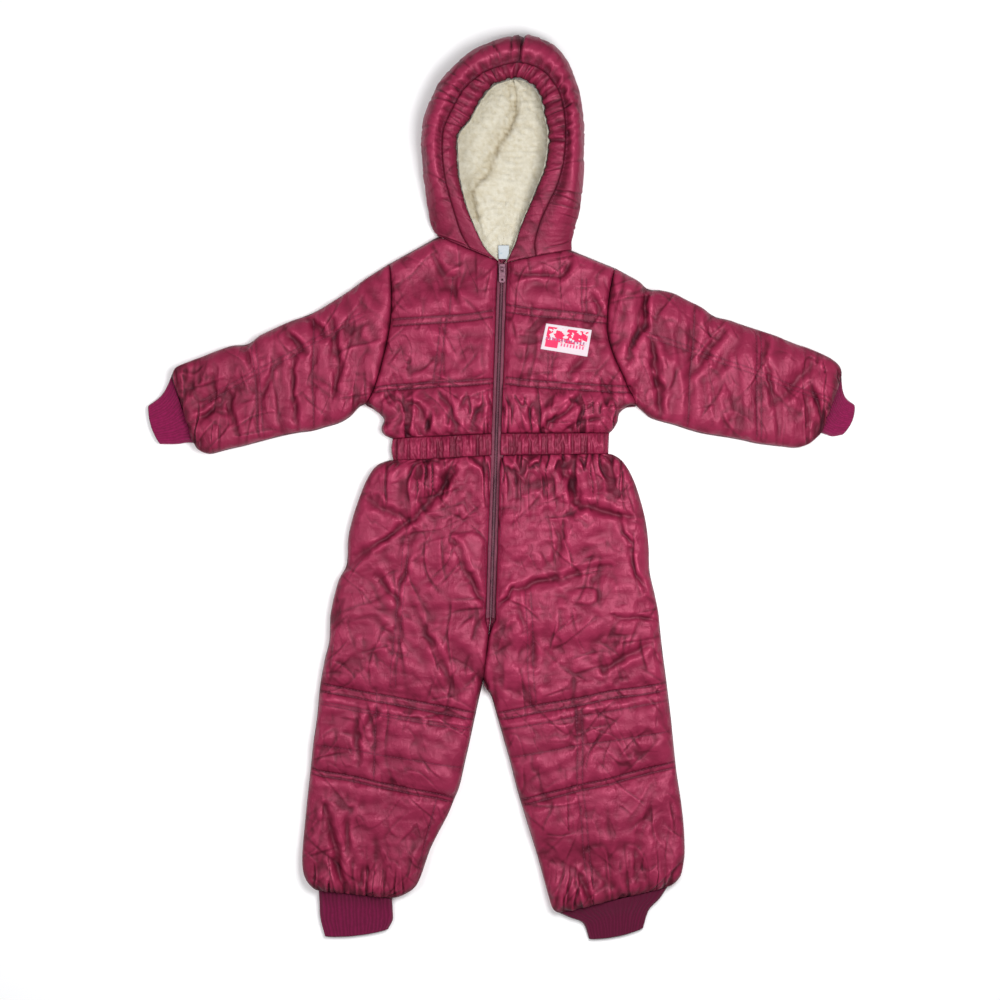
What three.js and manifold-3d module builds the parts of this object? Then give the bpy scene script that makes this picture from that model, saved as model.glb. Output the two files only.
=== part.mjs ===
// A toddler's padded snowsuit, laid flat on its back with the zip up and the arms and legs spread.
// Millimetres, +Z up, the hood towards +Y. Left and right are the wearer's, so the right half lies at negative X.
// Every piece is a wall: the front panels lie on the back panels with a thin air gap, and both end at the side seams.
import * as THREE from "three";
import { mergeVertices } from "three/addons/utils/BufferGeometryUtils.js";
import Module from "manifold-3d";

const wasm = await Module();
wasm.setup();

// Gap between neighbouring pieces, and half of it, which each side gives up at a shared seam.
const SEAM_GAP = 0.3;
const HALF_GAP = SEAM_GAP / 2;

// Heights of the flat garment: side seam, inner faces of the back and front walls, and the crest of the front.
const SEAM_Z = 8.3;
const BACK_INNER_Z = 6.5;
const FRONT_INNER_Z = 9.8;
const CREST_Z = 21;
const EDGE_WALL = 6;

// How far in from a side seam the front and the back are rounded.
const FRONT_ROUND = 17;
const BACK_ROUND = 12;

// What the front keeps of its height above the side seam at its other edges, and how far in the dip reaches.
const WAIST_DIP = { keep: 0.66, reach: 15 };
const ZIP_DIP = { keep: 0.5, reach: 10 };
const CUFF_DIP = { keep: 0.36, reach: 17 };

// The zip runs down the centre front. Its tapes show as a strip of this width.
const ZIP_WIDTH = 9.4;
const ZIP_TOP = { x: 2, y: 247.6 };
const ZIP_WAIST = { x: -4.5, y: 60 };
const ZIP_WAIST_LOW = { x: -5.1, y: 36 };
const ZIP_END = { x: -11, y: -144 };
const CROTCH = { x: -19, y: -211 };
const COIL = { width: 3.4, base: 11.2, top: 14.4 };
const TAPE = { base: 10.6, top: 12.4 };

// Quilting is a double row of stitches: two grooves this far apart, this deep, and of this half-width.
const QUILT = { spacing: 7, depth: 3.2, spread: 3.4 };

// Padded hood: wall, lining wall and the heights of its rolled edge at the neck and at its full rise.
const HOOD_WALL = 4.5;
const LINING_WALL = 3.5;
const NAPE = { x: 2, y: 269 };
const CROWN_BACK = { x: 17, y: 452 };

const COLOURS = { shell: 0x8f2a4c, rib: 0x7a1d46, pile: 0xd9d0bb, tape: 0x5a2b40, metal: 0xa98a98, label: 0xeadfe4 };

// Trouser sections from the waist to the ankle: outer end, height of the inner end, and its x below the crotch.
const RIGHT_LEG = [
  { name: "waist", outX: -118, outY: 29.7, inY: 36 },
  { name: "hip", outX: -137, outY: 23, inY: 24 },
  { name: "hip", outX: -148, outY: 7, inY: 6 },
  { name: "hip", outX: -156, outY: -12, inY: -14 },
  { name: "hip", outX: -163, outY: -33, inY: -36 },
  { name: "hip", outX: -168, outY: -56, inY: -58 },
  { name: "hip", outX: -169, outY: -80, inY: -82 },
  { name: "thigh", outX: -177, outY: -99, inY: -105 },
  { name: "thigh", outX: -184, outY: -120, inY: -127 },
  { name: "zip end", outX: -187.5, outY: -140, inY: -143.8 },
  { name: "crotch seam", outX: -188, outY: -147, inY: -150 },
  { name: "crotch seam", outX: -189, outY: -167, inY: -178 },
  { name: "crotch", outX: -193, outY: -186, inY: -211 },
  { name: "thigh", outX: -196, outY: -196, inX: -22.5, inY: -226 },
  { name: "above knee", outX: -198, outY: -202, inX: -26, inY: -241 },
  { name: "knee top", outX: -199, outY: -208, inX: -27.5, inY: -247 },
  { name: "knee", outX: -199.5, outY: -214, inX: -28.5, inY: -253 },
  { name: "knee", outX: -202, outY: -245, inX: -33, inY: -276 },
  { name: "knee", outX: -205, outY: -272, inX: -37.5, inY: -296 },
  { name: "knee middle", outX: -206, outY: -278, inX: -39, inY: -302 },
  { name: "knee", outX: -206.6, outY: -284, inX: -40.5, inY: -308 },
  { name: "knee", outX: -209, outY: -301, inX: -46, inY: -331 },
  { name: "knee foot", outX: -209.5, outY: -307, inX: -48.5, inY: -337 },
  { name: "shin", outX: -210, outY: -313, inX: -51, inY: -343 },
  { name: "shin", outX: -213, outY: -340, inX: -58, inY: -357 },
  { name: "shin", outX: -215.5, outY: -368, inX: -68, inY: -379 },
  { name: "shin", outX: -218, outY: -395, inX: -78, inY: -398 },
  { name: "shin", outX: -218.5, outY: -415, inX: -84.5, inY: -417 },
  { name: "shin", outX: -215, outY: -431, inX: -91, inY: -434 },
  { name: "ankle", outX: -201, outY: -443, inX: -120, inY: -452 },
];
const LEFT_LEG = [
  { name: "waist", outX: 119, outY: 37.8, inY: 36 },
  { name: "hip", outX: 133, outY: 29.5, inY: 24 },
  { name: "hip", outX: 143, outY: 16, inY: 6 },
  { name: "hip", outX: 150, outY: 0, inY: -14 },
  { name: "hip", outX: 156, outY: -20, inY: -36 },
  { name: "hip", outX: 161, outY: -45, inY: -58 },
  { name: "hip", outX: 163, outY: -70, inY: -82 },
  { name: "thigh", outX: 164.5, outY: -94, inY: -105 },
  { name: "thigh", outX: 169, outY: -113, inY: -127 },
  { name: "zip end", outX: 173, outY: -133, inY: -143.8 },
  { name: "crotch seam", outX: 174, outY: -141, inY: -150 },
  { name: "crotch seam", outX: 176.5, outY: -163, inY: -178 },
  { name: "crotch", outX: 179.5, outY: -189, inY: -211 },
  { name: "thigh", outX: 181, outY: -199, inX: -11, inY: -222 },
  { name: "above knee", outX: 182, outY: -205, inX: -4.5, inY: -243 },
  { name: "knee top", outX: 182.5, outY: -211, inX: -1.5, inY: -252 },
  { name: "knee", outX: 183.5, outY: -217, inX: 0.5, inY: -259 },
  { name: "knee", outX: 187, outY: -243, inX: 6, inY: -281 },
  { name: "knee", outX: 189, outY: -263, inX: 9.5, inY: -297 },
  { name: "knee middle", outX: 189.5, outY: -269, inX: 11, inY: -303 },
  { name: "knee", outX: 190, outY: -275, inX: 12.5, inY: -309 },
  { name: "knee", outX: 192.5, outY: -296, inX: 20.5, inY: -340 },
  { name: "knee foot", outX: 193.3, outY: -302, inX: 22.5, inY: -347 },
  { name: "shin", outX: 194, outY: -308, inX: 25, inY: -353 },
  { name: "shin", outX: 198, outY: -335, inX: 31, inY: -374 },
  { name: "shin", outX: 201, outY: -362, inX: 38, inY: -397 },
  { name: "shin", outX: 203, outY: -390, inX: 45, inY: -420 },
  { name: "shin", outX: 201.5, outY: -410, inX: 51, inY: -441 },
  { name: "shin", outX: 197, outY: -428, inX: 56.5, inY: -460 },
  { name: "ankle", outX: 185, outY: -439.5, inX: 64, inY: -468 },
];

// Bodice sections from the waist to the shoulder: side or armhole end, height at the zip, and the share of the neck's rise.
const RIGHT_BODICE = [
  { name: "waist", sideX: -119, sideY: 54.5, zipY: 60, rise: 0 },
  { name: "blouse", sideX: -129, sideY: 58.5, zipY: 66, rise: 0 },
  { name: "blouse", sideX: -131, sideY: 66, zipY: 74, rise: 0 },
  { name: "side", sideX: -128.5, sideY: 78, zipY: 84, rise: 0 },
  { name: "side", sideX: -139, sideY: 87, zipY: 94, rise: 0 },
  { name: "underarm", sideX: -149, sideY: 92.5, zipY: 103, rise: 0 },
  { name: "chest", sideX: -143.5, sideY: 100, zipY: 110, rise: 0 },
  { name: "low quilt line", sideX: -140.5, sideY: 106, zipY: 116.5, rise: 0 },
  { name: "chest", sideX: -138, sideY: 112, zipY: 123, rise: 0 },
  { name: "chest", sideX: -133, sideY: 127, zipY: 138, rise: 0 },
  { name: "chest", sideX: -128, sideY: 146, zipY: 156, rise: 0 },
  { name: "chest", sideX: -123.5, sideY: 166, zipY: 176, rise: 0 },
  { name: "chest", sideX: -121.5, sideY: 177, zipY: 186, rise: 0 },
  { name: "high quilt line", sideX: -120.6, sideY: 183.5, zipY: 192.5, rise: 0.02 },
  { name: "yoke", sideX: -120, sideY: 190, zipY: 199, rise: 0.06 },
  { name: "yoke", sideX: -119.5, sideY: 208, zipY: 214, rise: 0.25 },
  { name: "yoke", sideX: -120, sideY: 226, zipY: 230, rise: 0.55 },
  { name: "yoke", sideX: -121.2, sideY: 239, zipY: 241.5, rise: 0.83 },
  { name: "shoulder", sideX: -122, sideY: 247.5, zipY: 249, rise: 1 },
];
const LEFT_BODICE = [
  { name: "waist", sideX: 120, sideY: 60.5, zipY: 60, rise: 0 },
  { name: "blouse", sideX: 124, sideY: 64.5, zipY: 67, rise: 0 },
  { name: "blouse", sideX: 128.5, sideY: 73, zipY: 75, rise: 0 },
  { name: "side", sideX: 131.5, sideY: 83, zipY: 85, rise: 0 },
  { name: "side", sideX: 139, sideY: 89.3, zipY: 94, rise: 0 },
  { name: "underarm", sideX: 149.5, sideY: 90.5, zipY: 102, rise: 0 },
  { name: "chest", sideX: 146.5, sideY: 99, zipY: 109, rise: 0 },
  { name: "low quilt line", sideX: 143, sideY: 105.5, zipY: 115.5, rise: 0 },
  { name: "chest", sideX: 139.5, sideY: 112, zipY: 122, rise: 0 },
  { name: "chest", sideX: 132, sideY: 128, zipY: 138, rise: 0 },
  { name: "chest", sideX: 124, sideY: 146, zipY: 156, rise: 0 },
  { name: "chest", sideX: 118.5, sideY: 165, zipY: 176, rise: 0 },
  { name: "chest", sideX: 117.3, sideY: 175.5, zipY: 187.5, rise: 0 },
  { name: "high quilt line", sideX: 117, sideY: 182, zipY: 194, rise: 0.02 },
  { name: "yoke", sideX: 117.2, sideY: 188.5, zipY: 200.5, rise: 0.06 },
  { name: "yoke", sideX: 118.5, sideY: 207, zipY: 215, rise: 0.25 },
  { name: "yoke", sideX: 122, sideY: 225, zipY: 230, rise: 0.55 },
  { name: "yoke", sideX: 124.3, sideY: 236, zipY: 240.5, rise: 0.83 },
  { name: "shoulder", sideX: 126, sideY: 242.5, zipY: 247.6, rise: 1 },
];
// Where the shoulder meets the neck: its share of the way from the armhole to the zip, and its rise above that line.
const RIGHT_NECK = { across: 0.44, rise: 28.5 };
const LEFT_NECK = { across: 0.402, rise: 17.4 };

// Sleeve sections from the armhole to the wrist: lower end and upper end.
const RIGHT_SLEEVE = [
  { loX: -149.4, loY: 92.5, upX: -122.4, upY: 247.5 },
  { loX: -154, loY: 91, upX: -137, upY: 239 },
  { loX: -160, loY: 84, upX: -150, upY: 230 },
  { loX: -170, loY: 75.5, upX: -165, upY: 219 },
  { loX: -184, loY: 69.5, upX: -181, upY: 208.5 },
  { loX: -198, loY: 64.5, upX: -196, upY: 200.5 },
  { loX: -212, loY: 62, upX: -208, upY: 192.5 },
  { loX: -227, loY: 60, upX: -224, upY: 188 },
  { loX: -243, loY: 56.5, upX: -240, upY: 179.5 },
  { loX: -259, loY: 52.5, upX: -256, upY: 173.5 },
  { loX: -274, loY: 49, upX: -272, upY: 165 },
  { loX: -289, loY: 45.5, upX: -286, upY: 158.5 },
  { loX: -303, loY: 42, upX: -304, upY: 155 },
  { loX: -317, loY: 38.5, upX: -320, upY: 150 },
  { loX: -328, loY: 40.5, upX: -338, upY: 141.5 },
  { loX: -335, loY: 46.5, upX: -355, upY: 133.5 },
  { loX: -337.5, loY: 50, upX: -363, upY: 124 },
];
const LEFT_SLEEVE = [
  { loX: 149.9, loY: 90.5, upX: 126.4, upY: 242.5 },
  { loX: 155, loY: 85.5, upX: 139, upY: 236 },
  { loX: 163, loY: 79, upX: 152, upY: 229 },
  { loX: 175, loY: 73.5, upX: 164, upY: 221 },
  { loX: 189, loY: 69.5, upX: 179, upY: 217.5 },
  { loX: 204, loY: 64.5, upX: 194, upY: 212.5 },
  { loX: 219, loY: 60.5, upX: 209, upY: 205.5 },
  { loX: 234, loY: 57, upX: 223, upY: 198 },
  { loX: 249, loY: 54.7, upX: 237, upY: 189 },
  { loX: 264, loY: 52.5, upX: 253, upY: 184 },
  { loX: 279, loY: 49.5, upX: 269, upY: 178.5 },
  { loX: 294, loY: 46.5, upX: 286, upY: 173 },
  { loX: 309, loY: 46, upX: 303, upY: 167 },
  { loX: 323, loY: 44.5, upX: 320, upY: 161.5 },
  { loX: 335, loY: 46.5, upX: 337, upY: 155.5 },
  { loX: 346, loY: 54, upX: 357, upY: 146 },
  { loX: 351, loY: 60, upX: 371, upY: 136 },
  { loX: 353, loY: 61.5, upX: 376, upY: 122 },
];

// Knitted cuffs, from the padded end to the open hem: the two ends of each section, and how far the hem bulges.
const RIGHT_WRIST = { bulge: 3.5, sections: [
  { loX: -337.9, loY: 49.9, upX: -363.4, upY: 123.9 },
  { loX: -347, loY: 50, upX: -369, upY: 111 },
  { loX: -358, loY: 48.5, upX: -376, upY: 101 },
  { loX: -376, loY: 48.5, upX: -389, upY: 91 },
] };
const LEFT_WRIST = { bulge: 4, sections: [
  { loX: 353.4, loY: 61.3, upX: 376.4, upY: 121.8 },
  { loX: 360, loY: 59, upX: 378, upY: 108 },
  { loX: 367, loY: 57, upX: 382, upY: 99 },
  { loX: 378, loY: 59, upX: 391, upY: 92 },
] };
const RIGHT_ANKLE = { bulge: 3, sections: [
  { loX: -200.9, loY: -443.5, upX: -119.9, upY: -452.5 },
  { loX: -200, loY: -459, upX: -119, upY: -466 },
  { loX: -199, loY: -475, upX: -119, upY: -477 },
  { loX: -194, loY: -495, upX: -124, upY: -487 },
] };
const LEFT_ANKLE = { bulge: 3, sections: [
  { loX: 184.8, loY: -440, upX: 63.8, upY: -468.5 },
  { loX: 176, loY: -453, upX: 76, upY: -474 },
  { loX: 164, loY: -466, upX: 91, upY: -480.5 },
  { loX: 157.5, loY: -486, upX: 98, upY: -498 },
] };
const RIB = { count: 18, height: 0.9, wall: 2.2, seamTop: 12.6, hemTop: 8.4, edgeZ: 4.2, round: 5 };

// Hood sections round the face opening, from the right of the neck over the crown to the left of the neck:
// the opening's edge, the seam of the gathered casing, and the outermost edge.
const HOOD = [
  { openX: -3, openY: 249.7, seamX: -33, seamY: 262, edgeX: -69.4, edgeY: 277.3 },
  { openX: -16, openY: 262, seamX: -43, seamY: 279, edgeX: -76, edgeY: 291 },
  { openX: -28, openY: 284, seamX: -50, seamY: 300, edgeX: -79.5, edgeY: 309 },
  { openX: -38, openY: 309, seamX: -56, seamY: 320, edgeX: -82.5, edgeY: 332 },
  { openX: -45, openY: 335, seamX: -61, seamY: 342, edgeX: -85.5, edgeY: 355 },
  { openX: -48, openY: 361, seamX: -63.5, seamY: 366, edgeX: -87.3, edgeY: 378 },
  { openX: -47, openY: 386, seamX: -62.5, seamY: 392, edgeX: -86, edgeY: 399 },
  { openX: -34, openY: 404, seamX: -53, seamY: 415, edgeX: -79, edgeY: 424 },
  { openX: -23, openY: 424, seamX: -40, seamY: 437, edgeX: -66, edgeY: 449 },
  { openX: -10, openY: 440, seamX: -22, seamY: 453, edgeX: -42, edgeY: 475 },
  { openX: 3, openY: 446, seamX: -3, seamY: 461.5, edgeX: -14, edgeY: 491.5 },
  { openX: 15, openY: 448.8, seamX: 18, seamY: 466, edgeX: 20, edgeY: 499.8 },
  { openX: 26, openY: 446.5, seamX: 35, seamY: 463, edgeX: 46, edgeY: 495.5 },
  { openX: 37, openY: 438.5, seamX: 51, seamY: 453, edgeX: 66, edgeY: 482 },
  { openX: 44.5, openY: 425, seamX: 63, seamY: 436, edgeX: 79, edgeY: 458 },
  { openX: 47.5, openY: 407, seamX: 69, seamY: 416, edgeX: 88, edgeY: 430 },
  { openX: 50.5, openY: 390, seamX: 71, seamY: 394, edgeX: 91.5, edgeY: 404 },
  { openX: 49.5, openY: 370, seamX: 70.5, seamY: 371, edgeX: 92, edgeY: 377 },
  { openX: 45, openY: 347, seamX: 67, seamY: 350, edgeX: 91.3, edgeY: 350 },
  { openX: 38, openY: 329, seamX: 61, seamY: 330, edgeX: 89.5, edgeY: 325 },
  { openX: 31, openY: 310, seamX: 52, seamY: 311, edgeX: 86.5, edgeY: 305 },
  { openX: 23, openY: 290, seamX: 43, seamY: 290, edgeX: 82, edgeY: 288 },
  { openX: 15.5, openY: 267, seamX: 38, seamY: 270, edgeX: 78.5, edgeY: 273 },
  { openX: 7, openY: 248.4, seamX: 39, seamY: 254.8, edgeX: 78, edgeY: 262.5 },
];
const CROWN = 11;

// The rolled section of the hood, from the opening to the back seam. "from" and "to" name the points it lies between,
// "share" is how far along, "inset" moves it in towards the back seam, and the two heights are at the neck and in full.
const HOOD_PROFILE = [
  { from: "open", to: "seam", share: 0, inset: 0, neckZ: 18.6, fullZ: 35 },
  { from: "open", to: "seam", share: 0.28, inset: 0, neckZ: 19.2, fullZ: 41.5 },
  { from: "open", to: "seam", share: 0.62, inset: 0, neckZ: 19.4, fullZ: 43 },
  { from: "open", to: "seam", share: 1, inset: 0, neckZ: 19, fullZ: 41 },
  { from: "seam", to: "edge", share: 0.16, inset: 0, neckZ: 19, fullZ: 46 },
  { from: "seam", to: "edge", share: 0.42, inset: 0, neckZ: 18.6, fullZ: 51 },
  { from: "seam", to: "edge", share: 0.72, inset: 0, neckZ: 16.5, fullZ: 47 },
  { from: "seam", to: "edge", share: 0.92, inset: 0, neckZ: 12.8, fullZ: 37 },
  { from: "edge", to: "back", share: 0, inset: 0, neckZ: 8.3, fullZ: 24 },
  { from: "edge", to: "back", share: 0, inset: 3.5, neckZ: 3, fullZ: 9 },
  { from: "edge", to: "back", share: 0, inset: 13, neckZ: 0, fullZ: 0 },
  { from: "edge", to: "back", share: 0.45, inset: 8, neckZ: 0, fullZ: 0 },
  { from: "edge", to: "back", share: 1, inset: 0, neckZ: 0, fullZ: 0 },
];
const CASING_END = 3;

// The lining follows the casing's underside, then turns down to the floor of the hood.
const LINING_PROFILE = [
  { share: 0.2, neckTop: 12.6, fullTop: 35 },
  { share: 0.42, neckTop: 12, fullTop: 25 },
];

// Main folds on the front: ends, half-width, and height above (or below) the padded surface.
const FOLDS = [
  { x0: -52, y0: 18, x1: -92, y1: -32, width: 9, height: -5 },
  { x0: -92, y0: -32, x1: -166, y1: -86, width: 8, height: -4 },
  { x0: -150, y0: -12, x1: -98, y1: -38, width: 9, height: -3.5 },
  { x0: -140, y0: 8, x1: -75, y1: 6, width: 15, height: 3 },
  { x0: -140, y0: -95, x1: -60, y1: -60, width: 20, height: 2.5 },
  { x0: -52, y0: -60, x1: -22, y1: -128, width: 7, height: -3.5 },
  { x0: -76, y0: -150, x1: -36, y1: -236, width: 8, height: -4 },
  { x0: -150, y0: -222, x1: -45, y1: -228, width: 12, height: -2 },
  { x0: -190, y0: -350, x1: -170, y1: -438, width: 9, height: -6 },
  { x0: -130, y0: -430, x1: -150, y1: -395, width: 14, height: 2.5 },
  { x0: 76, y0: 8, x1: 84, y1: -24, width: 9, height: -5 },
  { x0: 84, y0: -20, x1: 134, y1: -34, width: 9, height: -4 },
  { x0: 132, y0: -36, x1: 152, y1: -112, width: 6, height: -3.5 },
  { x0: 2, y0: -130, x1: 18, y1: -112, width: 7, height: -4 },
  { x0: 18, y0: -112, x1: 62, y1: -100, width: 7, height: -4 },
  { x0: 62, y0: -100, x1: 150, y1: -92, width: 7, height: -2.5 },
  { x0: 66, y0: -34, x1: 60, y1: -98, width: 8, height: -3 },
  { x0: 60, y0: -140, x1: 150, y1: -130, width: 22, height: 2.5 },
  { x0: 168, y0: -335, x1: 145, y1: -420, width: 11, height: -3.5 },
  { x0: 60, y0: -417, x1: 150, y1: -425, width: 8, height: -4 },
  { x0: 88, y0: -426, x1: 98, y1: -455, width: 7, height: -3 },
  { x0: 161, y0: 222, x1: 157, y1: 182, width: 8, height: -6 },
  { x0: 157, y0: 182, x1: 140, y1: 150, width: 8, height: -5 },
  { x0: 168, y0: 150, x1: 177, y1: 88, width: 9, height: -6 },
  { x0: 138, y0: 215, x1: 146, y1: 180, width: 10, height: 2.5 },
  { x0: 244, y0: 172, x1: 208, y1: 130, width: 9, height: -3 },
  { x0: 294, y0: 160, x1: 288, y1: 110, width: 8, height: -3 },
  { x0: 340, y0: 130, x1: 300, y1: 95, width: 10, height: -2.5 },
  { x0: -205, y0: 190, x1: -183, y1: 160, width: 8, height: -4.5 },
  { x0: -183, y0: 160, x1: -184, y1: 100, width: 8, height: -4.5 },
  { x0: -234, y0: 172, x1: -222, y1: 132, width: 8, height: -4 },
  { x0: -222, y0: 132, x1: -224, y1: 70, width: 8, height: -3.5 },
  { x0: -276, y0: 158, x1: -270, y1: 116, width: 8, height: -4 },
  { x0: -300, y0: 118, x1: -287, y1: 58, width: 7, height: -3 },
  { x0: -342, y0: 130, x1: -318, y1: 92, width: 8, height: -3 },
  { x0: -66, y0: 104, x1: -48, y1: 70, width: 6, height: -3.5 },
  { x0: -98, y0: 94, x1: -72, y1: 64, width: 6, height: -3 },
  { x0: 44, y0: 64, x1: 92, y1: 106, width: 6, height: -3.5 },
  { x0: 64, y0: 64, x1: 120, y1: 82, width: 6, height: -2.5 },
  { x0: 96, y0: 144, x1: 72, y1: 120, width: 7, height: -2.5 },
  { x0: -74, y0: 262, x1: -52, y1: 214, width: 8, height: -3 },
  { x0: -46, y0: 234, x1: -50, y1: 200, width: 7, height: -2 },
  { x0: 76, y0: 250, x1: 66, y1: 232, width: 6, height: -4 },
  { x0: 66, y0: 232, x1: 20, y1: 236, width: 6, height: -2.5 },
  { x0: 98, y0: 212, x1: 112, y1: 190, width: 6, height: -3.5 },
];

// Double rows of quilting on the front: ends of the middle line between the two grooves.
const QUILT_LINES = [
  { x0: -10, y0: 192.5, x1: -120, y1: 183.5 },
  { x0: 5, y0: 194, x1: 117, y1: 182 },
  { x0: -10, y0: 116.5, x1: -140, y1: 106 },
  { x0: 5, y0: 115.5, x1: 143, y1: 105.5 },
  { x0: -54, y0: 186, x1: -72, y1: 112 },
  { x0: 95, y0: 228, x1: 94, y1: 190 },
  { x0: 56, y0: 148, x1: 55, y1: 112 },
  { x0: -199, y0: -208, x1: -27.5, y1: -247 },
  { x0: -206, y0: -278, x1: -39, y1: -302 },
  { x0: -209.5, y0: -307, x1: -48.5, y1: -337 },
  { x0: 182.5, y0: -211, x1: -1.5, y1: -252 },
  { x0: 189.5, y0: -269, x1: 11, y1: -303 },
  { x0: 193.3, y0: -302, x1: 22.5, y1: -347 },
  { x0: -154, y0: -225, x1: -156, y1: -312 },
  { x0: -84, y0: -338, x1: -90, y1: -410 },
  { x0: -100, y0: -50, x1: -122, y1: -214 },
  { x0: 86, y0: -240, x1: 87, y1: -330 },
  { x0: 87, y0: -340, x1: 97, y1: -440 },
  { x0: 24, y0: -112, x1: 32, y1: -240 },
];
// The armholes and the crotch seam are single deep grooves.
const SEAM_GROOVE = { depth: 3, spread: 5 };

// Folds are drawn this much deeper than the table's middle values.
const FOLD_GAIN = 1.25;

const v3 = (x, y, z) => new THREE.Vector3(x, y, z);
const mix = (a, b, s) => a + (b - a) * s;
const mixPoint = (a, b, s) => ({ x: mix(a.x, b.x, s), y: mix(a.y, b.y, s) });
const clamp01 = (s) => Math.min(1, Math.max(0, s));
const smooth = (s) => clamp01(s) * clamp01(s) * (3 - 2 * clamp01(s));

// Rises from 0 at an edge to 1 at the given distance in, as a quarter circle does.
function rounded(distance, radius) {
  const s = 1 - clamp01(distance / radius);
  return Math.sqrt(1 - s * s);
}

// Distance from a point to a segment, and how far along the segment its foot lies.
function toSegment(p, a, b) {
  const dx = b.x - a.x;
  const dy = b.y - a.y;
  const s = clamp01(((p.x - a.x) * dx + (p.y - a.y) * dy) / (dx * dx + dy * dy));
  return { distance: Math.hypot(p.x - a.x - s * dx, p.y - a.y - s * dy), share: s };
}

function toLine(p, line) {
  let least = Infinity;
  for (let i = 1; i < line.length; i++) least = Math.min(least, toSegment(p, line[i - 1], line[i]).distance);
  return least;
}

// The centre front at a height: the zip down to its end, then the crotch seam.
function centreX(y) {
  if (y >= ZIP_WAIST.y) return mix(ZIP_WAIST.x, ZIP_TOP.x, (y - ZIP_WAIST.y) / (ZIP_TOP.y - ZIP_WAIST.y));
  if (y >= ZIP_WAIST_LOW.y) return mix(ZIP_WAIST_LOW.x, ZIP_WAIST.x, (y - ZIP_WAIST_LOW.y) / (ZIP_WAIST.y - ZIP_WAIST_LOW.y));
  if (y >= ZIP_END.y) return mix(ZIP_END.x, ZIP_WAIST_LOW.x, (y - ZIP_END.y) / (ZIP_WAIST_LOW.y - ZIP_END.y));
  return mix(CROTCH.x, ZIP_END.x, (y - CROTCH.y) / (ZIP_END.y - CROTCH.y));
}

// Where a front panel ends at the centre: beside the zip, or at the seam below it. side is -1 for the right.
function frontEdgeX(side, y) {
  const half = y >= ZIP_END.y ? ZIP_WIDTH / 2 : HALF_GAP;
  return centreX(y) + side * half;
}

const SIDE_LINES = silhouette();
const CUFF_LINES = [RIGHT_SLEEVE, LEFT_SLEEVE].map((t) => sleeveEnd(t)).concat([RIGHT_LEG, LEFT_LEG].map((t) => legEnd(t)));
const WAIST_LINES = [
  [{ x: -119, y: 54.5 }, { x: -4.5, y: 60 }, { x: 120, y: 60.5 }],
  [{ x: -118, y: 29.7 }, { x: -5.1, y: 36 }, { x: 119, y: 37.8 }],
];
const ZIP_LINE = [{ x: ZIP_TOP.x, y: 260 }, ZIP_TOP, ZIP_WAIST, ZIP_WAIST_LOW, ZIP_END];
const SEAM_LINES = [
  armhole(RIGHT_BODICE),
  armhole(LEFT_BODICE),
  [ZIP_END, CROTCH],
];

function sleeveEnd(table) {
  const last = table[table.length - 1];
  return [{ x: last.loX, y: last.loY }, { x: last.upX, y: last.upY }];
}

function legEnd(table) {
  const last = table[table.length - 1];
  return [{ x: last.outX, y: last.outY }, { x: last.inX, y: last.inY }];
}


function armhole(table) {
  const first = table.findIndex((r) => r.name === "underarm");
  return table.slice(first).map((r) => ({ x: r.sideX, y: r.sideY }));
}

// All the side, sleeve, leg and shoulder edges where the front turns under to the back.
function silhouette() {
  const lines = [];
  for (const table of [RIGHT_LEG, LEFT_LEG]) {
    lines.push(table.map((r) => ({ x: r.outX, y: r.outY })));
    lines.push([CROTCH].concat(table.filter((r) => r.inX !== undefined).map((r) => ({ x: r.inX, y: r.inY }))));
  }
  for (const table of [RIGHT_SLEEVE, LEFT_SLEEVE]) {
    lines.push(table.map((r) => ({ x: r.loX, y: r.loY })));
    lines.push(table.map((r) => ({ x: r.upX, y: r.upY })));
  }
  for (const [table, neck] of [[RIGHT_BODICE, RIGHT_NECK], [LEFT_BODICE, LEFT_NECK]]) {
    const side = table[0].sideX < 0 ? -1 : 1;
    const last = table.findIndex((r) => r.name === "underarm");
    lines.push(table.slice(0, last + 1).map((r) => ({ x: r.sideX, y: r.sideY })));
    lines.push([bodicePoint(table, neck, side, table.length - 1, 0), bodicePoint(table, neck, side, table.length - 1, neck.across)]);
  }
  lines.push([{ x: -118, y: 29.7 }, { x: -120.5, y: 42 }, { x: -119, y: 54.5 }]);
  lines.push([{ x: 119, y: 37.8 }, { x: 119, y: 50 }, { x: 120, y: 60.5 }]);
  return lines;
}

// A point of a front bodice section, from the side (0) to the zip (1).
function bodicePoint(table, neck, side, index, across) {
  const row = table[index];
  const zip = { x: frontEdgeX(side, row.zipY), y: row.zipY };
  const p = mixPoint({ x: row.sideX, y: row.sideY }, zip, across);
  const tent = across < neck.across ? across / neck.across : (1 - across) / (1 - neck.across);
  return { x: p.x, y: p.y + neck.rise * row.rise * tent };
}

const nearest = (p, lines) => Math.min(...lines.map((line) => toLine(p, line)));

function foldHeight(p) {
  let sum = 0;
  for (const f of FOLDS) {
    const near = toSegment(p, { x: f.x0, y: f.y0 }, { x: f.x1, y: f.y1 });
    sum += FOLD_GAIN * f.height * Math.exp(-((near.distance / f.width) ** 2));
  }
  return sum;
}

function quiltDepth(p) {
  let depth = 0;
  for (const q of QUILT_LINES) {
    const near = toSegment(p, { x: q.x0, y: q.y0 }, { x: q.x1, y: q.y1 });
    const off = (near.distance - QUILT.spacing / 2) / QUILT.spread;
    depth = Math.max(depth, QUILT.depth * Math.exp(-off * off));
  }
  return depth;
}

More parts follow.
